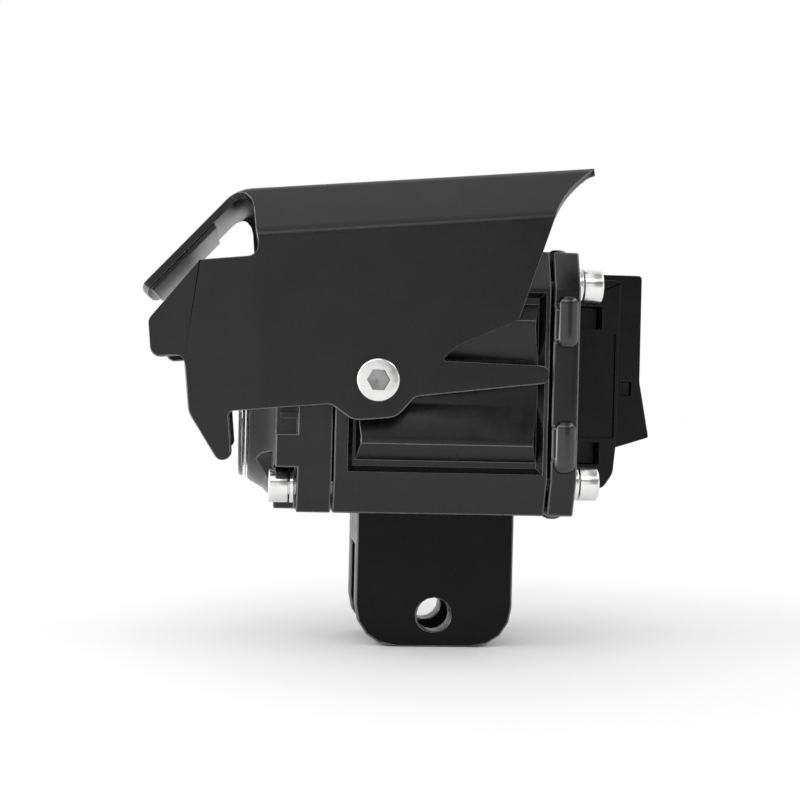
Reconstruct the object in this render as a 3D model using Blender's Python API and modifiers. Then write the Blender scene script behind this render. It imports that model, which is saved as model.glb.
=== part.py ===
"""A motorcycle LED fog lamp, as separate pieces.

The lamp faces -Y and stands on a forked foot. The origin is the middle of the foot's cross-bolt
hole, +Z is up. Lengths are in metres; MM turns millimetres into metres.
"""

import math

import bmesh
import bpy
from mathutils import Matrix, Vector

MM = 0.001
TINY = 1e-6  # points nearer than this are one point

# Clearances
GAP = 0.3 * MM  # between two pieces that touch on the real lamp
FIT = 0.3 * MM  # a round piece in its hole, on the radius

# Foot
FOOT_HALF_WIDTH = 11.0 * MM
FOOT_HALF_LENGTH = 16.85 * MM
FOOT_BOTTOM = -6.8 * MM
FOOT_TOP = 22.25 * MM
FOOT_CORNER = 8.5 * MM
SLOT_HALF_WIDTH = 6.0 * MM
BRIDGE_HEIGHT = 8.05 * MM  # from the top of the slot to the top of the foot
CROSS_HOLE_RADIUS = 3.65 * MM
SWIVEL_SEAT_DEPTH = 1.2 * MM
SWIVEL_GAP = 0.4 * MM  # between the foot and the lamp over it
SWIVEL_WIDTH = 5.5 * MM

# Lamp body, square round an axis along Y
BODY_HALF = 27.15 * MM
CORNER_CUT_WIDTH = 2.8 * MM
CORNER_CUT_HEIGHT = 7.6 * MM
HOUSING_FRONT = -23.15 * MM
HOUSING_REAR = 20.4 * MM
BULKHEAD_FRONT = -8.0 * MM
BULKHEAD_REAR = -4.5 * MM
DRIVER_ROOM_HALF = BODY_HALF - 10.25 * MM
LED_ROOM_RADIUS = 13.0 * MM
LED_ROOM_FRONT = -14.5 * MM

# Ribs on the housing's walls, as heights over the lamp axis
RIB_FIELD_HALF = BODY_HALF - 8.65 * MM
RIB_FIELD_FRONT = HOUSING_FRONT + 2.75 * MM
RIB_FIELD_REAR = HOUSING_REAR - 1.0 * MM
RIB_DEPTH = 2.0 * MM
RIB_CREST_IN = RIB_FIELD_HALF * 0.61
RIB_CREST_OUT = RIB_FIELD_HALF * 0.69
RIB_FOOT_IN = RIB_FIELD_HALF * 0.265
RIB_FOOT_OUT = RIB_FIELD_HALF * 0.875
RIB_END_SLOPE = 1.1 * MM
RIB_FRONT_ROOM = 1.5 * MM
RIB_REAR_ROOM = 1.0 * MM

# Front bezel
BEZEL_DEPTH = 11.4 * MM
BEZEL_GAP = 0.35 * MM
BOSS_LENGTH = 5.5 * MM
BOSS_FRONT_RADIUS = BODY_HALF - 5.15 * MM
BOSS_BACK_RADIUS = BODY_HALF - 0.35 * MM
BEZEL_SCREWS = (BODY_HALF - 6.85 * MM, BODY_HALF - 5.25 * MM)  # across and up from the axis
POCKET_MARGIN = 0.4 * MM
SCALLOP_MARGIN = 3.2 * MM
BEZEL_POCKET_DEPTH = 4.4 * MM
BEZEL_NOTCH_HALF = BODY_HALF * 0.41
BEZEL_NOTCH_DEPTH = 2.4 * MM
FIN_PLACE = BEZEL_NOTCH_HALF * 0.67
FIN_HALF_THICKNESS = 0.6 * MM

# Glass, ring and reflector
LENS_RADIUS = BODY_HALF - 5.65 * MM
LENS_FLAT_RADIUS = LENS_RADIUS * 0.72
LENS_EDGE = 1.1 * MM
LENS_RIM = 0.25 * MM
LENS_SPIGOT_RADIUS = LENS_RADIUS - 1.9 * MM
LENS_SPIGOT_LENGTH = 2.6 * MM
RING_THICKNESS = 0.4 * MM
LENS_GASKET_THICKNESS = 1.0 * MM
LEDGE_RADIUS = LENS_SPIGOT_RADIUS - 2.1 * MM
LEDGE_THICKNESS = 1.3 * MM
REFLECTOR_MOUTH = LEDGE_RADIUS - 0.3 * MM
REFLECTOR_THROAT = 5.2 * MM
REFLECTOR_WALL = 1.2 * MM
REFLECTOR_RIM_RADIUS = LENS_RADIUS + 0.6 * MM
REFLECTOR_RIM_THICKNESS = 1.0 * MM
REFLECTOR_CLEARANCE = 1.3 * MM  # behind its throat, to the heads of the board's screws
LIGHT_ROOM_RADIUS = REFLECTOR_MOUTH - 0.8 * MM
GASKET_GROOVE = 1.2 * MM
GASKET_WIDTH = 1.5 * MM

# LED board and its screws
LED_BOARD_RADIUS = 11.5 * MM
LED_BOARD_THICKNESS = 1.6 * MM
PAD_THICKNESS = 0.6 * MM
LEAD_OFFSET = 9.0 * MM
LEAD_RADIUS = 0.75 * MM
LEAD_HOLE = 1.2 * MM
LED_SCREW_OFFSET = 8.6 * MM
SMALL_SCREW_RADIUS = 1.0 * MM
LED_SCREW_HEAD = 1.2 * MM
LED_HALF = 3.0 * MM
LED_HEIGHT = 1.0 * MM
DOME_RADIUS = 2.3 * MM

# Driver board
BOARD_FRONT = 4.0 * MM
BOARD_THICKNESS = 1.6 * MM
BOARD_HALF = DRIVER_ROOM_HALF - 1.5 * MM
BOARD_SCREW_OFFSET = BOARD_HALF - 3.0 * MM
BOARD_POST_RADIUS = 2.6 * MM

# Rear cover
REAR_GAP = 0.6 * MM
FLANGE_THICKNESS = 5.5 * MM
REAR_SCREWS = (BODY_HALF - 6.65 * MM, BODY_HALF - 6.65 * MM)
FLANGE_PAD_HEIGHT = 0.6 * MM
FLANGE_PAD_IN = BODY_HALF * 0.28
FLANGE_PAD_OUT = BODY_HALF * 0.61
FLANGE_PAD_SLOPE = 1.4 * MM
COVER_BOSS_HALF = REAR_SCREWS[0] - 6.6 * MM
COVER_BOSS_TOP = BODY_HALF - 4.65 * MM
COVER_BOSS_BOTTOM = 5.2 * MM - BODY_HALF
COVER_BOSS_REACH = 11.8 * MM
TAIL_FIN_HALF = 8.0 * MM
TAIL_FIN_TOP = BODY_HALF - 2.95 * MM
TAIL_FIN_REACH = 17.95 * MM
TAIL_TIP_REACH = 20.2 * MM
TAIL_TIP_DROP = -11.0 * MM
SIDE_POCKET = (BODY_HALF * 0.445, BODY_HALF * 0.62)  # heights over the lamp axis
PANEL_DEPTH = 0.6 * MM
COVER_ROOM_HALF = 8.5 * MM
COVER_ROOM_HEIGHT = BODY_HALF - 8.25 * MM
REAR_GASKET_HALF = BODY_HALF - 7.25 * MM
REAR_GASKET_WIDTH = 1.7 * MM
GLAND_NECK = 3.0 * MM
GLAND_LIP = 1.3 * MM
GLAND_BORE = 1.9 * MM

# Screws
M4_RADIUS = 2.0 * MM
M4_HEAD_RADIUS = 3.61 * MM
M4_HEAD_HEIGHT = 4.0 * MM
M4_HEX = 1.5 * MM
M4_LENGTH = 12.0 * MM
SPRING_WASHER = 1.0 * MM
M5_RADIUS = 2.5 * MM
M5_HEAD_RADIUS = 4.25 * MM
M5_HEAD_HEIGHT = 3.6 * MM
M5_HEX = 2.0 * MM
HOOD_SCREW_LENGTH = 11.0 * MM
HOOD_WASHER = 0.8 * MM
HOOD_WASHER_RADIUS = 4.15 * MM
FOOT_BOLT_LENGTH = 11.5 * MM
FOOT_BOLT_HEAD = 2.6 * MM
FOOT_WASHER = 0.8 * MM
HOLE_END_ROOM = 0.5 * MM

# Hood: one folded sheet. Heights and reaches are from its two side screws, before it is tilted.
HOOD_PIVOT_Y = HOUSING_FRONT + 7.85 * MM
HOOD_TILT = math.radians(5.3)
SHEET = 1.5 * MM
HOOD_SIDE_ROOM = 1.85 * MM
HOOD_TOP_ROOM = 13.85 * MM
HOOD_HALF = BODY_HALF + HOOD_SIDE_ROOM + SHEET
HOOD_TOP = BODY_HALF + HOOD_TOP_ROOM
HOOD_CHAMFER = 10.2 * MM
FOLD_RADIUS = 3.0 * MM
HOOD_FRONT = -21.8 * MM
FLAP_FRONT = -44.5 * MM
FLAP_TURN = math.radians(8.0)
FLAP_FOLD_RADIUS = 14.0 * MM
FLAP_TOP = 26.2 * MM
NOSE_HALF = HOOD_HALF - HOOD_CHAMFER - 1.3 * MM
NOSE_CORNER = 7.0 * MM
NOSE_LENGTH = 25.2 * MM
NOSE_BOW = 1.4 * MM
NOSE_TURN = math.radians(41.7)
NOSE_FOLD_RADIUS = 8.4 * MM
NOSE_PANEL_DEPTH = 0.9 * MM
NOSE_PANEL_MARGIN = 2.0 * MM
NOSE_PANEL_START = 5.0 * MM
HOOD_TAIL = 49.7 * MM
TAIL_DIP = 4.5 * MM
HOOD_BOSS_RADIUS = 5.6 * MM

# How finely round shapes are divided
ARC_STEP = math.radians(22.5)
FINE = 32
COARSE = 16
SMALL = 12

# How far a cutter goes past a face, or a joined shape into one
OVER = 1.0 * MM

# Places that follow from the sizes above
SLOT_TOP = FOOT_TOP - BRIDGE_HEIGHT
BODY_BOTTOM = FOOT_TOP + SWIVEL_GAP
AXIS_Z = BODY_BOTTOM + BODY_HALF
SWIVEL_RADIUS = M5_RADIUS + SWIVEL_WIDTH
BEZEL_REAR = HOUSING_FRONT - BEZEL_GAP
BEZEL_FRONT = BEZEL_REAR - BEZEL_DEPTH
POCKET_FLOOR = BEZEL_FRONT + BEZEL_POCKET_DEPTH
BOSS_FRONT = BEZEL_FRONT - BOSS_LENGTH
RING_BACK = BOSS_FRONT - GAP
RING_FRONT = RING_BACK - RING_THICKNESS
LENS_BACK = RING_FRONT - GAP
SPIGOT_END = LENS_BACK + LENS_SPIGOT_LENGTH
GASKET_FRONT = SPIGOT_END + GAP
GASKET_BACK = GASKET_FRONT + LENS_GASKET_THICKNESS
LEDGE_FRONT = GASKET_BACK + GAP
LEDGE_BACK = LEDGE_FRONT + LEDGE_THICKNESS
BEZEL_BORE = LENS_SPIGOT_RADIUS + FIT
REFLECTOR_FRONT = LEDGE_BACK + GAP
LED_BOARD_FACE = BULKHEAD_FRONT - PAD_THICKNESS - LED_BOARD_THICKNESS - 2 * GAP
REFLECTOR_BACK = LED_BOARD_FACE - GAP - LED_SCREW_HEAD - REFLECTOR_CLEARANCE
REFLECTOR_DEPTH = REFLECTOR_BACK - REFLECTOR_FRONT
BEZEL_GASKET_INNER = REFLECTOR_RIM_RADIUS + FIT + 1.0 * MM
BEZEL_GASKET_OUTER = BEZEL_GASKET_INNER + GASKET_WIDTH
COVER_FRONT = HOUSING_REAR + REAR_GAP
FLANGE_BACK = COVER_FRONT + FLANGE_THICKNESS
GLAND_Y = FLANGE_BACK + GLAND_NECK + GLAND_LIP + 2 * GAP
COVER_ROOM_REAR = GLAND_Y + GLAND_NECK + 4 * GAP
HOOD_PIVOT = Vector((0, HOOD_PIVOT_Y, AXIS_Z))
HOOD_INSIDE = HOOD_HALF - SHEET
HOOD_BOSS_END = HOOD_INSIDE - GAP
HOOD_SCREW_SEAT = HOOD_HALF + GAP + HOOD_WASHER + GAP
LAMP_CENTRE = Vector((0, 0, AXIS_Z))


# ---------------------------------------------------------------- helpers


def clear_scene():
    for obj in list(bpy.data.objects):
        bpy.data.objects.remove(obj)


def new_collection(name):
    made = bpy.data.collections.new(name)
    bpy.context.scene.collection.children.link(made)
    return made


def finish(name, colour, roughness, metallic):
    made = bpy.data.materials.new(name)
    made.use_nodes = True
    shader = made.node_tree.nodes["Principled BSDF"]
    shader.inputs["Base Color"].default_value = (*colour, 1)
    shader.inputs["Roughness"].default_value = roughness
    shader.inputs["Metallic"].default_value = metallic
    return made


def add_object(name, bm, material=None):
    """A mesh object from bm: a piece when it has a material, or else a cutter."""
    bmesh.ops.remove_doubles(bm, verts=bm.verts, dist=TINY)
    bmesh.ops.recalc_face_normals(bm, faces=bm.faces)
    mesh = bpy.data.meshes.new(name)
    bm.to_mesh(mesh)
    bm.free()
    obj = bpy.data.objects.new(name, mesh)
    if material is None:
        cutters.objects.link(obj)
        obj.hide_render = True
        obj.display_type = "WIRE"
        return obj
    mesh.materials.append(material)
    mesh.shade_smooth()
    mesh.set_sharp_from_angle(angle=math.radians(35))
    pieces.objects.link(obj)
    return obj


def add_copies(bm, material, places):
    """One object for each (name, matrix), all sharing the mesh made from bm."""
    first = None
    for name, matrix in places:
        if first is None:
            obj = first = add_object(name, bm, material)
        else:
            obj = bpy.data.objects.new(name, first.data)
            pieces.objects.link(obj)
        obj.matrix_world = matrix


def boolean(target, other, operation="DIFFERENCE"):
    modifier = target.modifiers.new(other.name, "BOOLEAN")
    modifier.operation = operation
    modifier.object = other
    modifier.solver = "EXACT"
    return target


def box(lo, hi):
    """A box from corner to corner."""
    bm = bmesh.new()
    lo, hi = Vector(lo), Vector(hi)
    bmesh.ops.create_cube(bm, size=1)
    bmesh.ops.scale(bm, vec=hi - lo, verts=bm.verts)
    bmesh.ops.translate(bm, vec=(hi + lo) / 2, verts=bm.verts)
    return bm


def joined(parts):
    """One bmesh that holds all the given ones as separate shells."""
    whole = bmesh.new()
    for part in parts:
        mesh = bpy.data.meshes.new("part")
        part.to_mesh(mesh)
        part.free()
        whole.from_mesh(mesh)
        bpy.data.meshes.remove(mesh)
    return whole


def placed(bm, matrix):
    bmesh.ops.transform(bm, matrix=matrix, verts=bm.verts)
    return bm


ALONG = {
    "Z": Matrix.Identity(4),
    "Y": Matrix(((1, 0, 0, 0), (0, 0, 1, 0), (0, -1, 0, 0), (0, 0, 0, 1))),
    "X": Matrix(((0, 0, 1, 0), (1, 0, 0, 0), (0, 1, 0, 0), (0, 0, 0, 1))),
}


def turned(profile, axis="Z", centre=(0, 0, 0), steps=COARSE, closed=False):
    """A profile of (radius, place along the axis) points, turned round the axis.

    centre is a point of the axis; its own component along the axis is left out.
    """
    mesh = bpy.data.meshes.new("profile")
    count = len(profile)
    edges = [(i, i + 1) for i in range(count - 1)]
    if closed:
        edges.append((count - 1, 0))
    mesh.from_pydata([(r, 0, a) for r, a in profile], edges, [])
    obj = bpy.data.objects.new("profile", mesh)
    screw = obj.modifiers.new("Screw", "SCREW")
    screw.steps = screw.render_steps = steps
    screw.use_merge_vertices = True
    screw.merge_threshold = TINY
    whole = solid_of(obj)
    bmesh.ops.dissolve_degenerate(whole, dist=1e-7, edges=whole.edges)
    aside = Vector(centre)
    aside["XYZ".index(axis)] = 0
    return placed(whole, Matrix.Translation(aside) @ ALONG[axis])


def rod(radius, start, end, axis="Z", centre=(0, 0, 0), steps=COARSE):
    """A plain round bar between two places along the axis."""
    return turned([(0, end), (radius, end), (radius, start), (0, start)], axis, centre, steps)


def ring(inner, outer, start, end, axis="Z", centre=(0, 0, 0), steps=COARSE):
    profile = [(inner, end), (outer, end), (outer, start), (inner, start)]
    return turned(profile, axis, centre, steps, closed=True)


def rounded(corners, step=ARC_STEP):
    """The outline through corners of (a, b, radius), each corner an arc of that radius."""
    outline = []
    for index, (a, b, radius) in enumerate(corners):
        here = Vector((a, b))
        before = Vector(corners[index - 1][:2]) - here
        after = Vector(corners[(index + 1) % len(corners)][:2]) - here
        opening = before.angle(after)
        if radius <= 0 or opening > math.pi - 1e-3:
            outline.append(here)
            continue
        reach = radius / math.tan(opening / 2)
        start = here + before.normalized() * reach
        middle = here + (before.normalized() + after.normalized()).normalized() * (
            radius / math.sin(opening / 2)
        )
        turn = math.pi - opening
        if before.cross(after) > 0:
            turn = -turn
        count = max(1, math.ceil(abs(turn) / step))
        arm = start - middle
        for i in range(count + 1):
            spin = Matrix.Rotation(turn * i / count, 2)
            outline.append(middle + spin @ arm)
    return outline


def solid_of(obj):
    """The evaluated mesh of a helper object as a bmesh; the helper is removed."""
    bpy.context.scene.collection.objects.link(obj)
    graph = bpy.context.evaluated_depsgraph_get()
    mesh = bpy.data.meshes.new_from_object(obj.evaluated_get(graph))
    whole = bmesh.new()
    whole.from_mesh(mesh)
    bpy.data.objects.remove(obj)
    bpy.data.meshes.remove(mesh)
    bmesh.ops.remove_doubles(whole, verts=whole.verts, dist=TINY)
    return whole


def prism(outline, start, end, axis="Z"):
    """The flat outline as a solid between two places along the axis.

    The outline's two directions are X and Y before the axis is turned.
    """
    curve = bpy.data.curves.new("outline", "CURVE")
    curve.dimensions = "2D"
    curve.fill_mode = "BOTH"
    curve.extrude = (end - start) / 2
    spline = curve.splines.new("POLY")
    spline.points.add(len(outline) - 1)
    for point, place in zip(spline.points, outline):
        point.co = (place[0], place[1], 0, 1)
    spline.use_cyclic_u = True
    whole = solid_of(bpy.data.objects.new("outline", curve))
    return placed(whole, ALONG[axis] @ Matrix.Translation((0, 0, (start + end) / 2)))


def body_prism(start, end):
    """A length of the lamp's square section with its cut corners, between two places along Y."""
    quarter = [(BODY_HALF, BODY_HALF - CORNER_CUT_HEIGHT), (BODY_HALF - CORNER_CUT_WIDTH, BODY_HALF)]
    half = quarter + [(-x, z) for x, z in reversed(quarter)]
    section = half + [(-x, -z) for x, z in half]
    return placed(prism(section, start, end, "Y"), Matrix.Translation(LAMP_CENTRE))


CORNERS = {"left_low": (1, -1), "left_high": (1, 1), "right_low": (-1, -1), "right_high": (-1, 1)}
SIDES = {"left": 1, "right": -1}


def four_corners(across, up):
    """The screw places at the four corners, as (x, z)."""
    return [(sx * across, AXIS_Z + sz * up) for sx, sz in CORNERS.values()]


def about_lamp_axis(bm, quarter_turns):
    """bm turned about the lamp's axis."""
    turn = Matrix.Rotation(quarter_turns * math.pi / 2, 4, "Y")
    centre = Matrix.Translation(LAMP_CENTRE)
    return placed(bm, centre @ turn @ centre.inverted())


def cap_screw(head_radius, head_height, radius, length, hex_radius):
    """A socket cap screw along Z: its head stands on z = 0 and its shank hangs below."""
    lip = 0.35 * MM
    profile = [
        (0, head_height),
        (head_radius - lip, head_height),
        (head_radius, head_height - lip),
        (head_radius, 0),
        (radius, 0),
        (radius, -length + lip),
        (radius - lip, -length),
        (0, -length),
    ]
    body = add_object("screw_body", turned(profile))
    depth = head_height * 0.6
    corner = hex_radius / math.cos(math.pi / 6)
    socket = rod(corner, head_height - depth, head_height + OVER, steps=6)
    cutter = add_object("screw_socket", socket)
    boolean(body, cutter)
    cutters.objects.unlink(body)
    screw = solid_of(body)
    bpy.data.objects.remove(cutter)
    return screw


def facing(direction, place):
    """The matrix that turns +Z to direction and moves the origin to place."""
    return Matrix.Translation(place) @ Vector(direction).to_track_quat("Z", "Y").to_matrix().to_4x4()


# ---------------------------------------------------------------- foot


def make_foot():
    corners = [
        (-FOOT_HALF_LENGTH, FOOT_BOTTOM, FOOT_CORNER),
        (FOOT_HALF_LENGTH, FOOT_BOTTOM, FOOT_CORNER),
        (FOOT_HALF_LENGTH, FOOT_TOP, 0),
        (-FOOT_HALF_LENGTH, FOOT_TOP, 0),
    ]
    block = prism(rounded(corners), -FOOT_HALF_WIDTH, FOOT_HALF_WIDTH, "X")
    foot = add_object("mounting_foot", block, black_cast)
    slot = box(
        (-SLOT_HALF_WIDTH, -FOOT_HALF_LENGTH - OVER, FOOT_BOTTOM - OVER),
        (SLOT_HALF_WIDTH, FOOT_HALF_LENGTH + OVER, SLOT_TOP),
    )
    boolean(foot, add_object("foot_slot_cutter", slot))
    hole = rod(CROSS_HOLE_RADIUS, -FOOT_HALF_WIDTH - OVER, FOOT_HALF_WIDTH + OVER, "X")
    boolean(foot, add_object("cross_hole_cutter", hole))
    seat_top = SLOT_TOP + FOOT_BOLT_HEAD + FOOT_WASHER + 3 * GAP
    washer_seat = FOOT_TOP - SWIVEL_SEAT_DEPTH
    bolt_room = turned(
        [
            (0, FOOT_TOP + OVER),
            (SWIVEL_RADIUS + FIT, FOOT_TOP + OVER),
            (SWIVEL_RADIUS + FIT, washer_seat),
            (M5_RADIUS + FIT, washer_seat),
            (M5_RADIUS + FIT, seat_top),
            (M5_HEAD_RADIUS + 2 * FIT, seat_top),
            (M5_HEAD_RADIUS + 2 * FIT, SLOT_TOP - OVER),
            (0, SLOT_TOP - OVER),
        ]
    )
    boolean(foot, add_object("foot_bolt_cutter", bolt_room))


def make_foot_bolt():
    washer_base = SLOT_TOP + FOOT_BOLT_HEAD + 2 * GAP
    washer = ring(M5_RADIUS + FIT, M5_HEAD_RADIUS, washer_base, washer_base + FOOT_WASHER)
    add_object("foot_bolt_washer", washer, bright_steel)
    head_seat = SLOT_TOP + GAP + FOOT_BOLT_HEAD
    bolt = cap_screw(M5_HEAD_RADIUS, FOOT_BOLT_HEAD, M5_RADIUS, FOOT_BOLT_LENGTH, M5_HEX * 0.75)
    add_object("foot_bolt", placed(bolt, facing((0, 0, -1), (0, 0, head_seat))), bright_steel)
    seat = FOOT_TOP - SWIVEL_SEAT_DEPTH + GAP
    disc = ring(M5_RADIUS + FIT, SWIVEL_RADIUS, seat, BODY_BOTTOM - GAP)
    add_object("swivel_washer", disc, nylon)


# ---------------------------------------------------------------- lamp body


def rib_field(quarter):
    """What is cut from one wall of the housing: a shallow field round two ribs."""
    floor = BODY_HALF - RIB_DEPTH
    proud = 0.5 * MM
    slope = proud / RIB_DEPTH
    front, rear = RIB_FIELD_FRONT + RIB_END_SLOPE, RIB_FIELD_REAR - RIB_END_SLOPE
    half = RIB_FIELD_HALF - RIB_END_SLOPE
    low, high = AXIS_Z - half, AXIS_Z + half
    field = box((floor, front, low), (BODY_HALF + proud, rear, high))
    widen(field, RIB_END_SLOPE * (1 + slope))
    field = add_object("rib_field_cutter", about_lamp_axis(field, quarter))
    for side in (-1, 1):
        corners = [
            (floor - proud, RIB_FOOT_IN - slope * (RIB_CREST_IN - RIB_FOOT_IN)),
            (BODY_HALF, RIB_CREST_IN),
            (BODY_HALF, RIB_CREST_OUT),
            (floor - proud, RIB_FOOT_OUT + slope * (RIB_FOOT_OUT - RIB_CREST_OUT)),
        ]
        outline = [Vector((x, -side * height)) for x, height in corners]
        front, rear = RIB_FIELD_FRONT + RIB_FRONT_ROOM, RIB_FIELD_REAR - RIB_REAR_ROOM
        rib = placed(prism(outline, front, rear, "Y"), Matrix.Translation(LAMP_CENTRE))
        for vert in rib.verts:
            if vert.co.x > BODY_HALF - TINY:
                vert.co.y -= math.copysign(RIB_END_SLOPE, vert.co.y - (front + rear) / 2)
        boolean(field, add_object("rib_shape", about_lamp_axis(rib, quarter)))
    return field


def widen(bm, amount):
    """Makes the +X end of a box larger by the amount on each of its four sides."""
    middle = sum((vert.co for vert in bm.verts), Vector()) / len(bm.verts)
    for vert in bm.verts:
        if vert.co.x > middle.x:
            vert.co.y += math.copysign(amount, vert.co.y - middle.y)
            vert.co.z += math.copysign(amount, vert.co.z - middle.z)


def housing_holes():
    """The blind screw holes, the bolt hole and the lead holes of the housing, as bars."""
    front_end = POCKET_FLOOR - SPRING_WASHER - 2 * GAP + M4_LENGTH + HOLE_END_ROOM
    rear_end = FLANGE_BACK + SPRING_WASHER + 2 * GAP - M4_LENGTH - HOLE_END_ROOM
    bars = []
    for x, z in four_corners(*BEZEL_SCREWS):
        bars.append(rod(M4_RADIUS + FIT, HOUSING_FRONT - OVER, front_end, "Y", (x, 0, z), SMALL))
    for x, z in four_corners(*REAR_SCREWS):
        bars.append(rod(M4_RADIUS + FIT, rear_end, HOUSING_REAR + OVER, "Y", (x, 0, z), SMALL))
    bolt_end = SLOT_TOP + GAP + FOOT_BOLT_HEAD + FOOT_BOLT_LENGTH + HOLE_END_ROOM
    bars.append(rod(M5_RADIUS + FIT, BODY_BOTTOM - OVER, bolt_end))
    for side in (-1, 1):
        inner = side * (HOOD_SCREW_SEAT - HOOD_SCREW_LENGTH - HOLE_END_ROOM)
        outer = side * (HOOD_BOSS_END + OVER)
        bars.append(rod(M5_RADIUS + FIT, min(inner, outer), max(inner, outer), "X", HOOD_PIVOT))
        place = (side * LEAD_OFFSET, 0, AXIS_Z)
        bars.append(rod(LEAD_HOLE, BULKHEAD_FRONT - OVER, BULKHEAD_REAR + OVER, "Y", place, SMALL))
    return bars


def make_housing():
    housing = add_object("housing", body_prism(HOUSING_FRONT, HOUSING_REAR), black_cast)
    for quarter in (0, 2, 3):
        boolean(housing, rib_field(quarter))
    for side in (-1, 1):
        start, end = side * (BODY_HALF - RIB_DEPTH - OVER), side * HOOD_BOSS_END
        post = rod(HOOD_BOSS_RADIUS, min(start, end), max(start, end), "X", HOOD_PIVOT)
        boolean(housing, add_object("hood_post", post), "UNION")
    light_room = turned(
        [
            (0, BULKHEAD_FRONT),
            (LED_ROOM_RADIUS, BULKHEAD_FRONT),
            (LED_ROOM_RADIUS, LED_ROOM_FRONT),
            (LIGHT_ROOM_RADIUS, LED_ROOM_FRONT),
            (LIGHT_ROOM_RADIUS, HOUSING_FRONT - OVER),
            (0, HOUSING_FRONT - OVER),
        ],
        "Y",
        LAMP_CENTRE,
        FINE,
    )
    boolean(housing, add_object("light_room_cutter", light_room))
    driver_room = box(
        (-DRIVER_ROOM_HALF, BULKHEAD_REAR, AXIS_Z - DRIVER_ROOM_HALF),
        (DRIVER_ROOM_HALF, HOUSING_REAR + OVER, AXIS_Z + DRIVER_ROOM_HALF),
    )
    boolean(housing, add_object("driver_room_cutter", driver_room))
    threads = []
    for x, z in four_corners(BOARD_SCREW_OFFSET, BOARD_SCREW_OFFSET):
        place = (x, 0, z)
        post = rod(BOARD_POST_RADIUS, BULKHEAD_REAR - OVER, BOARD_FRONT - GAP, "Y", place, SMALL)
        boolean(housing, add_object("board_post", post), "UNION")
        start = BULKHEAD_REAR + OVER
        threads.append(rod(SMALL_SCREW_RADIUS + FIT, start, BOARD_FRONT + OVER, "Y", place, SMALL))
    boolean(housing, add_object("housing_hole_cutter", joined(housing_holes())))
    for side in (-1, 1):
        place = (0, 0, AXIS_Z + side * LED_SCREW_OFFSET)
        start, end = BULKHEAD_FRONT - OVER, BULKHEAD_REAR - OVER
        threads.append(rod(SMALL_SCREW_RADIUS + FIT, start, end, "Y", place, SMALL))
    boolean(housing, add_object("small_hole_cutter", joined(threads)))


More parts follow.
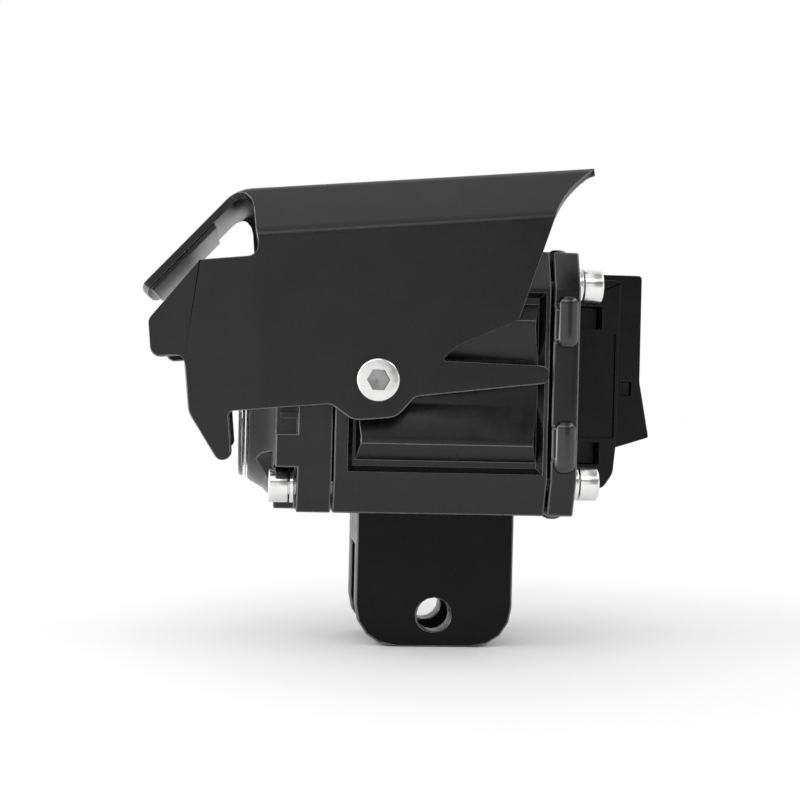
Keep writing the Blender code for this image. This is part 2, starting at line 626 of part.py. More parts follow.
def make_bezel():
    bezel = add_object("front_bezel", body_prism(BEZEL_FRONT, BEZEL_REAR), black_cast)
    reach = BODY_HALF + OVER
    notches = []
    for quarter in range(4):
        notch = box(
            (BODY_HALF - BEZEL_NOTCH_DEPTH, BEZEL_FRONT - OVER, AXIS_Z - BEZEL_NOTCH_HALF),
            (reach, POCKET_FLOOR, AXIS_Z + BEZEL_NOTCH_HALF),
        )
        notches.append(about_lamp_axis(notch, quarter))
    boolean(bezel, add_object("notch_cutter", joined(notches)))
    flare = BOSS_BACK_RADIUS - BOSS_FRONT_RADIUS
    boss = turned(
        [
            (0, BEZEL_FRONT + OVER),
            (BOSS_BACK_RADIUS, BEZEL_FRONT + OVER),
            (BOSS_BACK_RADIUS, BEZEL_FRONT),
            (BOSS_FRONT_RADIUS + flare * 0.7, BEZEL_FRONT - BOSS_LENGTH * 0.17),
            (BOSS_FRONT_RADIUS + flare * 0.42, BEZEL_FRONT - BOSS_LENGTH * 0.4),
            (BOSS_FRONT_RADIUS + flare * 0.12, BEZEL_FRONT - BOSS_LENGTH * 0.87),
            (BOSS_FRONT_RADIUS, BOSS_FRONT),
            (0, BOSS_FRONT),
        ],
        "Y",
        LAMP_CENTRE,
        FINE,
    )
    boolean(bezel, add_object("boss_shape", boss), "UNION")
    edges = [place - M4_HEAD_RADIUS - POCKET_MARGIN for place in BEZEL_SCREWS]
    pockets, rounds = [], []
    for sx, sz in CORNERS.values():
        xs = sorted((sx * edges[0], sx * reach))
        zs = sorted((sz * edges[1], sz * reach))
        low = (xs[0], BOSS_FRONT - OVER, AXIS_Z + zs[0])
        high = (xs[1], POCKET_FLOOR, AXIS_Z + zs[1])
        pockets.append(box(low, high))
        place = (sx * BEZEL_SCREWS[0], 0, AXIS_Z + sz * BEZEL_SCREWS[1])
        radius = M4_HEAD_RADIUS + SCALLOP_MARGIN
        rounds.append(rod(radius, BOSS_FRONT - OVER, BEZEL_FRONT - GAP, "Y", place))
        start, end = POCKET_FLOOR - OVER, BEZEL_REAR + OVER
        rounds.append(rod(M4_RADIUS + FIT, start, end, "Y", place, SMALL))
    boolean(bezel, add_object("screw_pocket_cutter", joined(pockets)))
    boolean(bezel, add_object("screw_hole_cutter", joined(rounds)))
    fins = []
    for quarter in range(4):
        for side in (-1, 1):
            middle = AXIS_Z + side * FIN_PLACE
            start = BODY_HALF - BEZEL_NOTCH_DEPTH
            fin = box(
                (start - OVER, BEZEL_FRONT + GAP * 3, middle - FIN_HALF_THICKNESS),
                (start + BEZEL_NOTCH_DEPTH * 0.6, POCKET_FLOOR + OVER, middle + FIN_HALF_THICKNESS),
            )
            fins.append(about_lamp_axis(fin, quarter))
    boolean(bezel, add_object("notch_fins", joined(fins)), "UNION")
    bore = turned(
        [
            (0, BEZEL_REAR + OVER),
            (BEZEL_GASKET_OUTER + FIT, BEZEL_REAR + OVER),
            (BEZEL_GASKET_OUTER + FIT, BEZEL_REAR - GASKET_GROOVE),
            (BEZEL_GASKET_INNER - FIT, BEZEL_REAR - GASKET_GROOVE),
            (BEZEL_GASKET_INNER - FIT, BEZEL_REAR + OVER / 2),
            (REFLECTOR_RIM_RADIUS + FIT, BEZEL_REAR + OVER / 2),
            (REFLECTOR_RIM_RADIUS + FIT, LEDGE_BACK),
            (LEDGE_RADIUS, LEDGE_BACK),
            (LEDGE_RADIUS, LEDGE_FRONT),
            (BEZEL_BORE, LEDGE_FRONT),
            (BEZEL_BORE, BOSS_FRONT - OVER),
            (0, BOSS_FRONT - OVER),
        ],
        "Y",
        LAMP_CENTRE,
        FINE,
    )
    boolean(bezel, add_object("bezel_bore_cutter", bore))


def lamp_ring(inner, outer, start, end):
    return ring(inner, outer, start, end, "Y", LAMP_CENTRE, FINE)


def make_glass():
    dome = []
    steps = 6
    for i in range(steps, -1, -1):
        turn = math.pi / 2 * i / steps
        radius = LENS_FLAT_RADIUS + (LENS_RADIUS - LENS_FLAT_RADIUS) * math.sin(turn)
        dome.append((radius, LENS_BACK - LENS_RIM - (LENS_EDGE - LENS_RIM) * math.cos(turn)))
    profile = [(0, SPIGOT_END), (LENS_SPIGOT_RADIUS, SPIGOT_END), (LENS_SPIGOT_RADIUS, LENS_BACK)]
    profile += [(LENS_RADIUS, LENS_BACK)] + dome + [(0, LENS_BACK - LENS_EDGE)]
    add_object("lens", turned(profile, "Y", LAMP_CENTRE, FINE), clear_glass)
    bright = lamp_ring(BEZEL_BORE + FIT, BOSS_FRONT_RADIUS, RING_FRONT, RING_BACK)
    add_object("lens_ring", bright, bright_steel)
    seal = lamp_ring(LEDGE_RADIUS, LENS_SPIGOT_RADIUS, GASKET_FRONT, GASKET_BACK)
    add_object("lens_gasket", seal, black_rubber)
    groove_back = BEZEL_REAR - GASKET_GROOVE + GAP
    seal = lamp_ring(BEZEL_GASKET_INNER, BEZEL_GASKET_OUTER, groove_back, HOUSING_FRONT - GAP)
    add_object("bezel_gasket", seal, black_rubber)


def reflector_profile():
    """The cup's inside as a parabola from mouth to throat, its outside and its rim."""
    spread = (REFLECTOR_MOUTH**2 - REFLECTOR_THROAT**2) / (REFLECTOR_DEPTH - REFLECTOR_WALL)
    mouth = REFLECTOR_FRONT + REFLECTOR_WALL
    base = REFLECTOR_MOUTH**2 / spread
    steps = 7
    inside = []
    for i in range(steps + 1):
        height = base - (REFLECTOR_BACK - mouth) * i / steps
        inside.append((math.sqrt(spread * height), mouth + base - height))
    outside = [(radius + REFLECTOR_WALL, y) for radius, y in reversed(inside)]
    rim_back = REFLECTOR_FRONT + REFLECTOR_RIM_THICKNESS
    outside[-1] = (outside[-1][0], rim_back)
    inside[0] = (REFLECTOR_MOUTH, rim_back)
    rim = [
        (REFLECTOR_RIM_RADIUS, rim_back),
        (REFLECTOR_RIM_RADIUS, REFLECTOR_FRONT),
        (REFLECTOR_MOUTH, REFLECTOR_FRONT),
    ]
    return inside + outside + rim


def make_light_engine():
    cup = turned(reflector_profile(), "Y", LAMP_CENTRE, FINE, closed=True)
    add_object("reflector", cup, mirror)
    pad_back = BULKHEAD_FRONT - GAP
    pad_front = pad_back - PAD_THICKNESS
    pad = ring(1.0 * MM, 7.0 * MM, pad_front, pad_back, "Y", LAMP_CENTRE)
    add_object("thermal_pad", pad, grey_pad)
    board_back = pad_front - GAP
    board_face = LED_BOARD_FACE
    disc = rod(LED_BOARD_RADIUS, board_face, board_back, "Y", LAMP_CENTRE)
    board = add_object("led_board", disc, white_board)
    holes, places = [], []
    for name, side in (("low", -1), ("high", 1)):
        start, end = board_face - OVER, board_back + OVER
        across = (side * LEAD_OFFSET, 0, AXIS_Z)
        holes.append(rod(LEAD_HOLE, start, end, "Y", across, SMALL))
        height = AXIS_Z + side * LED_SCREW_OFFSET
        holes.append(rod(SMALL_SCREW_RADIUS + FIT, start, end, "Y", (0, 0, height), SMALL))
        places.append(("led_board_screw_" + name, facing((0, -1, 0), (0, board_face - GAP, height))))
    boolean(board, add_object("led_board_cutter", joined(holes)))
    screw = cap_screw(2.0 * MM, LED_SCREW_HEAD, SMALL_SCREW_RADIUS, 4.2 * MM, 0.8 * MM)
    add_copies(screw, bright_steel, places)
    base_back = board_face - GAP
    base_front = base_back - LED_HEIGHT
    base = box(
        (-LED_HALF, base_front, AXIS_Z - LED_HALF), (LED_HALF, base_back, AXIS_Z + LED_HALF)
    )
    emitter = add_object("led_emitter", base, led_yellow)
    inside = base_front + LED_HEIGHT * 0.4
    dome = [(0, inside), (DOME_RADIUS, inside)]
    steps = 4
    for i in range(steps + 1):
        turn = math.pi / 2 * i / steps
        height = DOME_RADIUS * 0.7 * math.sin(turn)
        dome.append((DOME_RADIUS * math.cos(turn), base_front - height))
    dome = add_object("led_dome", turned(dome, "Y", LAMP_CENTRE, SMALL))
    boolean(emitter, dome, "UNION")


# ---------------------------------------------------------------- driver and leads


def make_driver():
    front, back = BOARD_FRONT, BOARD_FRONT + BOARD_THICKNESS
    half = BOARD_HALF
    flat = rounded([(-half, -half, MM), (half, -half, MM), (half, half, MM), (-half, half, MM)])
    sheet = placed(prism(flat, front, back, "Y"), Matrix.Translation(LAMP_CENTRE))
    board = add_object("driver_board", sheet, green_board)
    holes, places = [], []
    corners = four_corners(BOARD_SCREW_OFFSET, BOARD_SCREW_OFFSET)
    for name, (x, z) in zip(CORNERS, corners):
        start, end = front - OVER, back + OVER
        holes.append(rod(SMALL_SCREW_RADIUS + FIT, start, end, "Y", (x, 0, z), SMALL))
        places.append(("driver_board_screw_" + name, facing((0, 1, 0), (x, back + GAP, z))))
    boolean(board, add_object("driver_board_cutter", joined(holes)))
    screw = cap_screw(2.2 * MM, 1.4 * MM, SMALL_SCREW_RADIUS, 6.0 * MM, 0.8 * MM)
    add_copies(screw, bright_steel, places)
    base = back + GAP
    radius, height, lip = half * 0.33, 6.0 * MM, 0.7 * MM
    coil = turned(
        [
            (radius * 0.3, base + height),
            (radius - lip, base + height),
            (radius, base + height - lip),
            (radius, base + lip),
            (radius - lip, base),
            (radius * 0.3, base),
        ],
        "Y",
        (-half * 0.32, 0, AXIS_Z + half * 0.29),
        COARSE,
        closed=True,
    )
    add_object("driver_inductor", coil, ferrite)
    can, lip = half * 0.19, 0.5 * MM
    for name, x, z, height in (("large", 0.4, 0.56, 9.0), ("small", 0.49, 0.04, 7.0)):
        top = base + height * MM
        profile = [(0, top), (can - lip, top), (can, top - lip), (can, base), (0, base)]
        centre = (half * x, 0, AXIS_Z + half * z)
        add_object("driver_capacitor_" + name, turned(profile, "Y", centre), aluminium_can)
    for name, x0, x1, z0, z1, height in (
        ("driver_chip", -0.26, 0.13, -0.71, -0.42, 1.6),
        ("driver_diode", 0.32, 0.61, -0.55, -0.32, 2.2),
    ):
        low = (half * x0, base, AXIS_Z + half * z0)
        high = (half * x1, base + height * MM, AXIS_Z + half * z1)
        add_object(name, box(low, high), black_plastic)


def tube(points, radius):
    """A round wire through the points."""
    curve = bpy.data.curves.new("wire", "CURVE")
    curve.dimensions = "3D"
    curve.bevel_depth = radius
    curve.bevel_resolution = 2
    curve.use_fill_caps = True
    spline = curve.splines.new("POLY")
    spline.points.add(len(points) - 1)
    for point, place in zip(spline.points, points):
        point.co = (*place, 1)
    return solid_of(bpy.data.objects.new("wire", curve))


def make_leads():
    """Each lead runs from the driver board's front face through the bulkhead to the LED board."""
    start = BOARD_FRONT - GAP
    straight = BULKHEAD_REAR + OVER
    end = BULKHEAD_FRONT - PAD_THICKNESS - LED_BOARD_THICKNESS - 3 * GAP - OVER
    steps = 8
    for name, side, material in (("led_lead_red", 1, red_wire), ("led_lead_black", -1, black_wire)):
        x = side * LEAD_OFFSET
        points = []
        for i in range(steps + 1):
            share = i / steps
            rise = 1.6 * MM * math.sin(math.pi * share)
            points.append((x, start + (straight - start) * share, AXIS_Z + rise))
        points.append((x, end, AXIS_Z))
        add_object(name, tube(points, LEAD_RADIUS), material)


# ---------------------------------------------------------------- rear cover


def flange_pads():
    """The short pads on the flange's two side faces, in line with the housing's ribs."""
    foot, crest = BODY_HALF - OVER, BODY_HALF + FLANGE_PAD_HEIGHT
    slope = FLANGE_PAD_SLOPE
    corners = [
        (foot, FLANGE_PAD_IN),
        (crest, FLANGE_PAD_IN + slope),
        (crest, FLANGE_PAD_OUT - slope),
        (foot, FLANGE_PAD_OUT),
    ]
    made = []
    for side in (-1, 1):
        for hand in (-1, 1):
            outline = [Vector((hand * x, -side * height)) for x, height in corners]
            pad = prism(outline, COVER_FRONT, FLANGE_BACK - GAP * 3, "Y")
            for vert in pad.verts:
                if vert.co.y > COVER_FRONT + OVER and abs(vert.co.x) > BODY_HALF:
                    vert.co.y -= FLANGE_PAD_SLOPE
            made.append(placed(pad, Matrix.Translation(LAMP_CENTRE)))
    return made


def cover_boss():
    low, high = AXIS_Z + COVER_BOSS_BOTTOM, AXIS_Z + COVER_BOSS_TOP
    reach = FLANGE_BACK + COVER_BOSS_REACH
    corners = [
        (FLANGE_BACK - OVER, low, 0),
        (reach - 3.0 * MM, low, 2.0 * MM),
        (reach - 0.9 * MM, low + 3.2 * MM, 3.0 * MM),
        (reach - 0.4 * MM, low + 8.7 * MM, 0),
        (reach, high, 1.0 * MM),
        (FLANGE_BACK - OVER, high, 0),
    ]
    return prism(rounded(corners), -COVER_BOSS_HALF, COVER_BOSS_HALF, "X")


def tail_fin():
    reach = FLANGE_BACK + TAIL_FIN_REACH
    shoulder = AXIS_Z + COVER_BOSS_TOP - 2 * MM
    corners = [
        (FLANGE_BACK - OVER, AXIS_Z + TAIL_TIP_DROP + MM, 0),
        (FLANGE_BACK + COVER_BOSS_REACH - MM, AXIS_Z + TAIL_TIP_DROP - 3.0 * MM, 0),
        (FLANGE_BACK + TAIL_TIP_REACH, AXIS_Z + TAIL_TIP_DROP, 0.6 * MM),
        (reach, AXIS_Z + MM, 3.0 * MM),
        (reach, AXIS_Z + TAIL_FIN_TOP, 0.8 * MM),
        (FLANGE_BACK + COVER_BOSS_REACH * 0.75, AXIS_Z + TAIL_FIN_TOP, 0.8 * MM),
        (FLANGE_BACK + COVER_BOSS_REACH * 0.55, shoulder, 0),
        (FLANGE_BACK - OVER, shoulder, 0),
    ]
    return prism(rounded(corners), -TAIL_FIN_HALF, TAIL_FIN_HALF, "X")


def cover_recesses():
    """The small pockets beside the screws, the shallow side panels and the fin's notches."""
    cuts = []
    outer = COVER_BOSS_HALF + OVER
    for hand in (-1, 1):
        for side in (-1, 1):
            xs = sorted((hand * (COVER_BOSS_HALF - 4.0 * MM), hand * outer))
            zs = sorted(side * height for height in SIDE_POCKET)
            low = (xs[0], FLANGE_BACK + GAP, AXIS_Z + zs[0])
            high = (xs[1], FLANGE_BACK + COVER_BOSS_REACH * 0.65, AXIS_Z + zs[1])
            cuts.append(box(low, high))
        half = SIDE_POCKET[0] - OVER
        xs = sorted((hand * (COVER_BOSS_HALF - PANEL_DEPTH), hand * outer))
        low = (xs[0], FLANGE_BACK + 2 * OVER, AXIS_Z - half)
        high = (xs[1], FLANGE_BACK + COVER_BOSS_REACH - OVER, AXIS_Z + half)
        cuts.append(box(low, high))
        xs = sorted((hand * (TAIL_FIN_HALF - OVER), hand * (TAIL_FIN_HALF + OVER)))
        start = FLANGE_BACK + COVER_BOSS_REACH + 2 * MM
        cuts.append(box((xs[0], start, AXIS_Z - 2 * MM), (xs[1], start + 2.2 * MM, AXIS_Z + MM)))
    return cuts


def make_rear_cover():
    cover = add_object("rear_cover", body_prism(COVER_FRONT, FLANGE_BACK), black_cast)
    for pad in flange_pads():
        boolean(cover, add_object("flange_pad", pad), "UNION")
    boolean(cover, add_object("cover_boss", cover_boss()), "UNION")
    boolean(cover, add_object("tail_fin", tail_fin()), "UNION")
    boolean(cover, add_object("cover_recess_cutter", joined(cover_recesses())))
    room = box(
        (-COVER_ROOM_HALF, COVER_FRONT - OVER, AXIS_Z - COVER_ROOM_HEIGHT),
        (COVER_ROOM_HALF, COVER_ROOM_REAR, AXIS_Z + COVER_ROOM_HEIGHT),
    )
    boolean(cover, add_object("cover_room_cutter", room))
    holes = [
        rod(M4_RADIUS + FIT, COVER_FRONT - OVER, FLANGE_BACK + OVER, "Y", (x, 0, z), SMALL)
        for x, z in four_corners(*REAR_SCREWS)
    ]
    low, high = AXIS_Z + COVER_BOSS_BOTTOM - OVER, AXIS_Z - COVER_ROOM_HEIGHT + OVER
    holes.append(rod(GLAND_NECK + FIT, low, high, "Z", (0, GLAND_Y, 0)))
    boolean(cover, add_object("cover_hole_cutter", joined(holes)))
    outer, core = gasket_frame(FIT, COVER_FRONT - OVER, COVER_FRONT + GASKET_GROOVE)
    groove = add_object("rear_groove_cutter", outer)
    boolean(groove, add_object("rear_groove_core", core))
    boolean(cover, groove)


def gasket_frame(grow, start, end):
    """The square gasket as an outer block and the core that is taken out of it."""
    made = []
    outer, inner = REAR_GASKET_HALF + grow, REAR_GASKET_HALF - REAR_GASKET_WIDTH - grow
    for half, margin in ((outer, 0), (inner, OVER)):
        radius = half * 0.3
        corners = [(-half, -half), (half, -half), (half, half), (-half, half)]
        block = prism(rounded([(x, z, radius) for x, z in corners]), start - margin, end + margin, "Y")
        made.append(placed(block, Matrix.Translation(LAMP_CENTRE)))
    return made


def make_rear_seal():
    outer, core = gasket_frame(0, HOUSING_REAR + GAP, COVER_FRONT + GASKET_GROOVE - GAP)
    gasket = add_object("rear_gasket", outer, black_rubber)
    boolean(gasket, add_object("rear_gasket_core", core))


def make_gland():
    outside = AXIS_Z + COVER_BOSS_BOTTOM - GAP
    inside = AXIS_Z - COVER_ROOM_HEIGHT + GAP
    profile = [
        (GLAND_BORE, inside + 1.2 * MM),
        (GLAND_NECK + GAP, inside + 1.2 * MM),
        (GLAND_NECK + 3 * GAP, inside),
        (GLAND_NECK, inside),
        (GLAND_NECK, outside),
        (GLAND_NECK + GLAND_LIP, outside),
        (GLAND_NECK + GLAND_LIP, outside - 1.2 * MM),
        (GLAND_NECK, outside - 2.6 * MM),
        (GLAND_BORE, outside - 2.6 * MM),
    ]
    bush = turned(profile, "Z", (0, GLAND_Y, 0), COARSE, closed=True)
    add_object("cable_gland", bush, black_rubber)


# ---------------------------------------------------------------- outer screws


def make_corner_screws():
    for owner, offsets, seat, way in (
        ("bezel", BEZEL_SCREWS, POCKET_FLOOR, -1),
        ("rear_cover", REAR_SCREWS, FLANGE_BACK, 1),
    ):
        washers, screws = [], []
        for corner, (x, z) in zip(CORNERS, four_corners(*offsets)):
            washer_seat = seat + way * GAP
            head_seat = washer_seat + way * (SPRING_WASHER + GAP)
            washers.append((owner + "_washer_" + corner, facing((0, way, 0), (x, washer_seat, z))))
            screws.append((owner + "_screw_" + corner, facing((0, way, 0), (x, head_seat, z))))
        washer = ring(M4_RADIUS + FIT, M4_HEAD_RADIUS, 0, SPRING_WASHER)
        add_copies(washer, bright_steel, washers)
        screw = cap_screw(M4_HEAD_RADIUS, M4_HEAD_HEIGHT, M4_RADIUS, M4_LENGTH, M4_HEX)
        add_copies(screw, bright_steel, screws)


def make_hood_screws():
    washers, screws = [], []
    for name, side in SIDES.items():
        washer_seat = HOOD_PIVOT + Vector((side * (HOOD_HALF + GAP), 0, 0))
        head_seat = HOOD_PIVOT + Vector((side * HOOD_SCREW_SEAT, 0, 0))
        washers.append(("hood_washer_" + name, facing((side, 0, 0), washer_seat)))
        screws.append(("hood_screw_" + name, facing((side, 0, 0), head_seat)))
    add_copies(ring(M5_RADIUS + FIT, HOOD_WASHER_RADIUS, 0, HOOD_WASHER), bright_steel, washers)
    screw = cap_screw(M5_HEAD_RADIUS, M5_HEAD_HEIGHT, M5_RADIUS, HOOD_SCREW_LENGTH, M5_HEX)
    add_copies(screw, bright_steel, screws)


# ---------------------------------------------------------------- hood


def hood_section():
    """The half section from the middle out, as (length, turn) runs of the sheet's outside."""
    reach = FOLD_RADIUS * math.tan(math.pi / 8)
    slant = HOOD_CHAMFER * math.sqrt(2)
    bend = FOLD_RADIUS * math.pi / 4
    return [
        (HOOD_HALF - HOOD_CHAMFER - reach, 0),
        (bend, math.pi / 4),
        (slant - 2 * reach, 0),
        (bend, math.pi / 4),
    ]


def across_section(s):
    """(x, z) of the sheet's outside at the length s from the middle of the top."""
    x, z, angle = 0, HOOD_TOP, 0
    for length, turn in hood_section():
        part = min(max(s, 0), length)
        s -= length
        if turn:
            swept = turn * part / length
            radius = length / turn
            x += radius * (math.sin(angle + swept) - math.sin(angle))
            z += radius * (math.cos(angle + swept) - math.cos(angle))
            angle += swept
        else:
            x += part * math.cos(angle)
            z -= part * math.sin(angle)
        if s <= 0:
            return x, z
    return x, z - s


def fold_lines(steps=3):
    """The lengths s at which the sheet changes direction."""
    lines, s = [], 0
    for length, turn in hood_section():
        if turn:
            lines += [s + length * i / steps for i in range(steps + 1)]
        s += length
    return lines


def on_side(z):
    """The length s of a point of the side panel at the height z."""
    last = sum(length for length, _ in hood_section())
    return last + across_section(last)[1] - z


def on_chamfer(z):
    """The length s of a point of the chamfer at the height z."""
    runs = hood_section()
    start = runs[0][0] + runs[1][0]
    return start + (across_section(start)[1] - z) * math.sqrt(2)


def tail_curve(steps=8):
    """The tail's edge over the chamfer as its first point, those between and its last, in (y, s)."""
    start = Vector((HOOD_TAIL - 11.1 * MM, on_side(HOOD_TOP - HOOD_CHAMFER)))
    end = Vector((HOOD_TAIL, HOOD_HALF - HOOD_CHAMFER))
    pull = start + Vector((3.2 * MM, -7.5 * MM))
    between = []
    for i in range(1, steps):
        t = i / steps
        between.append(start * (1 - t) ** 2 + pull * (2 * t * (1 - t)) + end * t**2)
    return start, between, end


def hood_outline():
    """Half of the flat sheet, as (y, s) points, from the middle of the nose round to the tail."""
    nose = HOOD_FRONT - NOSE_FOLD_RADIUS * NOSE_TURN - NOSE_LENGTH
    start, curve, end = tail_curve()
    corners = [
        (nose, NOSE_HALF * 0.4, 0),
        (nose + NOSE_BOW * 0.4, NOSE_HALF * 0.8, 0),
        (nose + NOSE_BOW, NOSE_HALF, 1.0 * MM),
        (HOOD_FRONT, NOSE_HALF, NOSE_CORNER),
        (HOOD_FRONT, on_chamfer(HOOD_TOP - HOOD_CHAMFER * 0.9), 0),
        (HOOD_FRONT + 0.4 * MM, on_side(FLAP_TOP), 2.2 * MM),
        (-33.3 * MM, on_side(FLAP_TOP), 1.2 * MM),
        (FLAP_FRONT, on_side(15.1 * MM), 2.0 * MM),
        (FLAP_FRONT, on_side(7.5 * MM), 2.0 * MM),
        (-37.9 * MM, on_side(7.5 * MM), 1.3 * MM),
        (-37.8 * MM, on_side(-3.8 * MM), 4.0 * MM),
        (-29.8 * MM, on_side(-19.2 * MM), 1.75 * MM),
        (-29.8 * MM, on_side(-4.2 * MM), 0.9 * MM),
        (-9.4 * MM, on_side(-4.2 * MM), 2.5 * MM),
        (-5.2 * MM, on_side(-7.8 * MM), 4.0 * MM),
        (3.6 * MM, on_side(-7.8 * MM), 4.0 * MM),
        (7.6 * MM, on_side(-3.9 * MM), 2.0 * MM),
        (34.9 * MM, on_side(-3.1 * MM), 1.7 * MM),
        (34.9 * MM, on_side(0.4 * MM), 1.7 * MM),
        (13.3 * MM, on_side(2.9 * MM), 0.4 * MM),
        (16.8 * MM, on_side(5.8 * MM), 5.0 * MM),
        (29.5 * MM, on_side(10.0 * MM), 1.5 * MM),
        (start.x, start.y, 0),
    ]
    corners += [(point.x, point.y, 0) for point in curve]
    corners += [(end.x, end.y, 0.8 * MM)]
    middle = HOOD_TAIL - TAIL_DIP
    for share in (0.75, 0.5, 0.25):
        corners.append((middle + TAIL_DIP * share**2, end.y * share, 0))
    corners += [(middle, 0, 0), (nose, 0, 0)]
    return rounded(corners, math.radians(20))


def flat_sheet():
    """The half sheet, filled, with its screw hole, in (y, s) as (X, Y)."""
    bm = bmesh.new()
    hole = [
        Vector((math.cos(turn), math.sin(turn))) * (M5_RADIUS + FIT) + Vector((0, on_side(0)))
        for turn in (2 * math.pi * i / SMALL for i in range(SMALL))
    ]
    for outline in (hood_outline(), hole):
        verts = [bm.verts.new((y, s, 0)) for y, s in outline]
        for i, vert in enumerate(verts):
            bm.edges.new((verts[i - 1], vert))
    bmesh.ops.triangle_fill(bm, use_beauty=True, use_dissolve=False, edges=bm.edges)
    for s in fold_lines():
        geometry = bm.verts[:] + bm.edges[:] + bm.faces[:]
        bmesh.ops.bisect_plane(bm, geom=geometry, dist=1e-7, plane_co=(0, s, 0), plane_no=(0, 1, 0))
    steps = 4
    for i in range(steps + 1):
        y = HOOD_FRONT - NOSE_FOLD_RADIUS * NOSE_TURN * i / steps
        bisect_part(bm, y, lambda face: face.calc_center_median().y < nose_limit())
    steps = 2
    for i in range(steps + 1):
        y = HOOD_FRONT - FLAP_FOLD_RADIUS * FLAP_TURN * i / steps
        bisect_part(bm, y, lambda face: face.calc_center_median().y > nose_limit())
    bmesh.ops.remove_doubles(bm, verts=bm.verts, dist=0.05 * MM)
    return bm


def nose_limit():
    """The length s between the nose's side of the front edge and the flap's."""
    return on_chamfer(HOOD_TOP - HOOD_CHAMFER * 0.9) + OVER


def bisect_part(bm, y, wanted):
    faces = [face for face in bm.faces if wanted(face)]
    edges = {edge for face in faces for edge in face.edges}
    verts = {vert for face in faces for vert in face.verts}
    geometry = list(verts) + list(edges) + faces
    bmesh.ops.bisect_plane(bm, geom=geometry, dist=1e-7, plane_co=(y, 0, 0), plane_no=(1, 0, 0))


def past_fold(y, start, radius, turn):
    """(y, aside) of a point of the sheet once it is folded from y = start forward."""
    run = start - y
    if run <= 0:
        return y, 0
    bend = radius * turn
    swept = min(run, bend) / radius
    forward = radius * math.sin(swept)
    aside = radius * (1 - math.cos(swept))
    if run > bend:
        forward += (run - bend) * math.cos(turn)
        aside += (run - bend) * math.sin(turn)
    return start - forward, aside


def folded(y, s):
    """The place of a point of the flat sheet on the folded hood."""
    x, z = across_section(s)
    if s < nose_limit():
        y, drop = past_fold(y, HOOD_FRONT, NOSE_FOLD_RADIUS, NOSE_TURN)
        return x, y, z - drop
    y, inward = past_fold(y, HOOD_FRONT, FLAP_FOLD_RADIUS, FLAP_TURN)
    return x - inward, y, z


def nose_panel():
    """The panel pressed down from the nose, before the hood is tilted."""
    half, start = NOSE_HALF - NOSE_PANEL_MARGIN, -NOSE_PANEL_START
    end = -NOSE_LENGTH + NOSE_BOW
    panel = box((-half, end, -SHEET - NOSE_PANEL_DEPTH), (half, start, -SHEET / 2))
    forward = NOSE_FOLD_RADIUS * math.sin(NOSE_TURN)
    drop = NOSE_FOLD_RADIUS * (1 - math.cos(NOSE_TURN))
    corner = Matrix.Translation((0, HOOD_FRONT - forward, HOOD_TOP - drop))
    return placed(panel, corner @ Matrix.Rotation(NOSE_TURN, 4, "X"))


def make_hood():
    bm = flat_sheet()
    for vert in bm.verts:
        vert.co = folded(vert.co.x, vert.co.y)
    hood = add_object("hood", bm, black_coat)
    top = max(hood.data.polygons, key=lambda face: face.center.z)
    if top.normal.z < 0:
        hood.data.flip_normals()
    hood.matrix_world = Matrix.Translation(HOOD_PIVOT) @ Matrix.Rotation(HOOD_TILT, 4, "X")
    mirror_half = hood.modifiers.new("Mirror", "MIRROR")
    mirror_half.merge_threshold = TINY
    wall = hood.modifiers.new("Solidify", "SOLIDIFY")
    wall.thickness = SHEET
    wall.offset = -1
    wall.use_even_offset = True
    panel = add_object("nose_panel", placed(nose_panel(), hood.matrix_world))
    boolean(hood, panel, "UNION")


clear_scene()
pieces = new_collection("fog_lamp")
cutters = new_collection("cutters")

black_cast = finish("black_cast", (0.028, 0.028, 0.03), 0.42, 0.0)
black_coat = finish("black_coat", (0.03, 0.03, 0.032), 0.38, 0.0)
bright_steel = finish("bright_steel", (0.8, 0.8, 0.79), 0.22, 1.0)
mirror = finish("mirror", (0.9, 0.9, 0.9), 0.08, 1.0)
clear_glass = finish("clear_glass", (0.92, 0.95, 0.96), 0.05, 0.0)
black_rubber = finish("black_rubber", (0.02, 0.02, 0.02), 0.8, 0.0)
black_plastic = finish("black_plastic", (0.02, 0.02, 0.02), 0.5, 0.0)
nylon = finish("nylon", (0.75, 0.74, 0.7), 0.5, 0.0)
grey_pad = finish("grey_pad", (0.4, 0.42, 0.45), 0.8, 0.0)
white_board = finish("white_board", (0.85, 0.85, 0.83), 0.45, 0.0)
green_board = finish("green_board", (0.02, 0.16, 0.06), 0.4, 0.0)
led_yellow = finish("led_yellow", (0.85, 0.75, 0.25), 0.25, 0.0)
ferrite = finish("ferrite", (0.08, 0.08, 0.085), 0.6, 0.0)
aluminium_can = finish("aluminium_can", (0.7, 0.7, 0.72), 0.3, 1.0)
red_wire = finish("red_wire", (0.5, 0.02, 0.02), 0.45, 0.0)
black_wire = finish("black_wire", (0.02, 0.02, 0.02), 0.45, 0.0)

make_foot()
make_foot_bolt()
make_housing()
make_bezel()
make_glass()
make_light_engine()
make_driver()
make_leads()
make_rear_cover()
make_rear_seal()
make_gland()
make_corner_screws()
make_hood_screws()
make_hood()
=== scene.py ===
# %% [markdown]
# A square LED fog light with a folded hood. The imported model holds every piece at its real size.
# Loading it gives the fixed frame that all the looks below are built round.
# %% Load the frame
import math

import bmesh
import bpy
from mathutils import Matrix, Vector


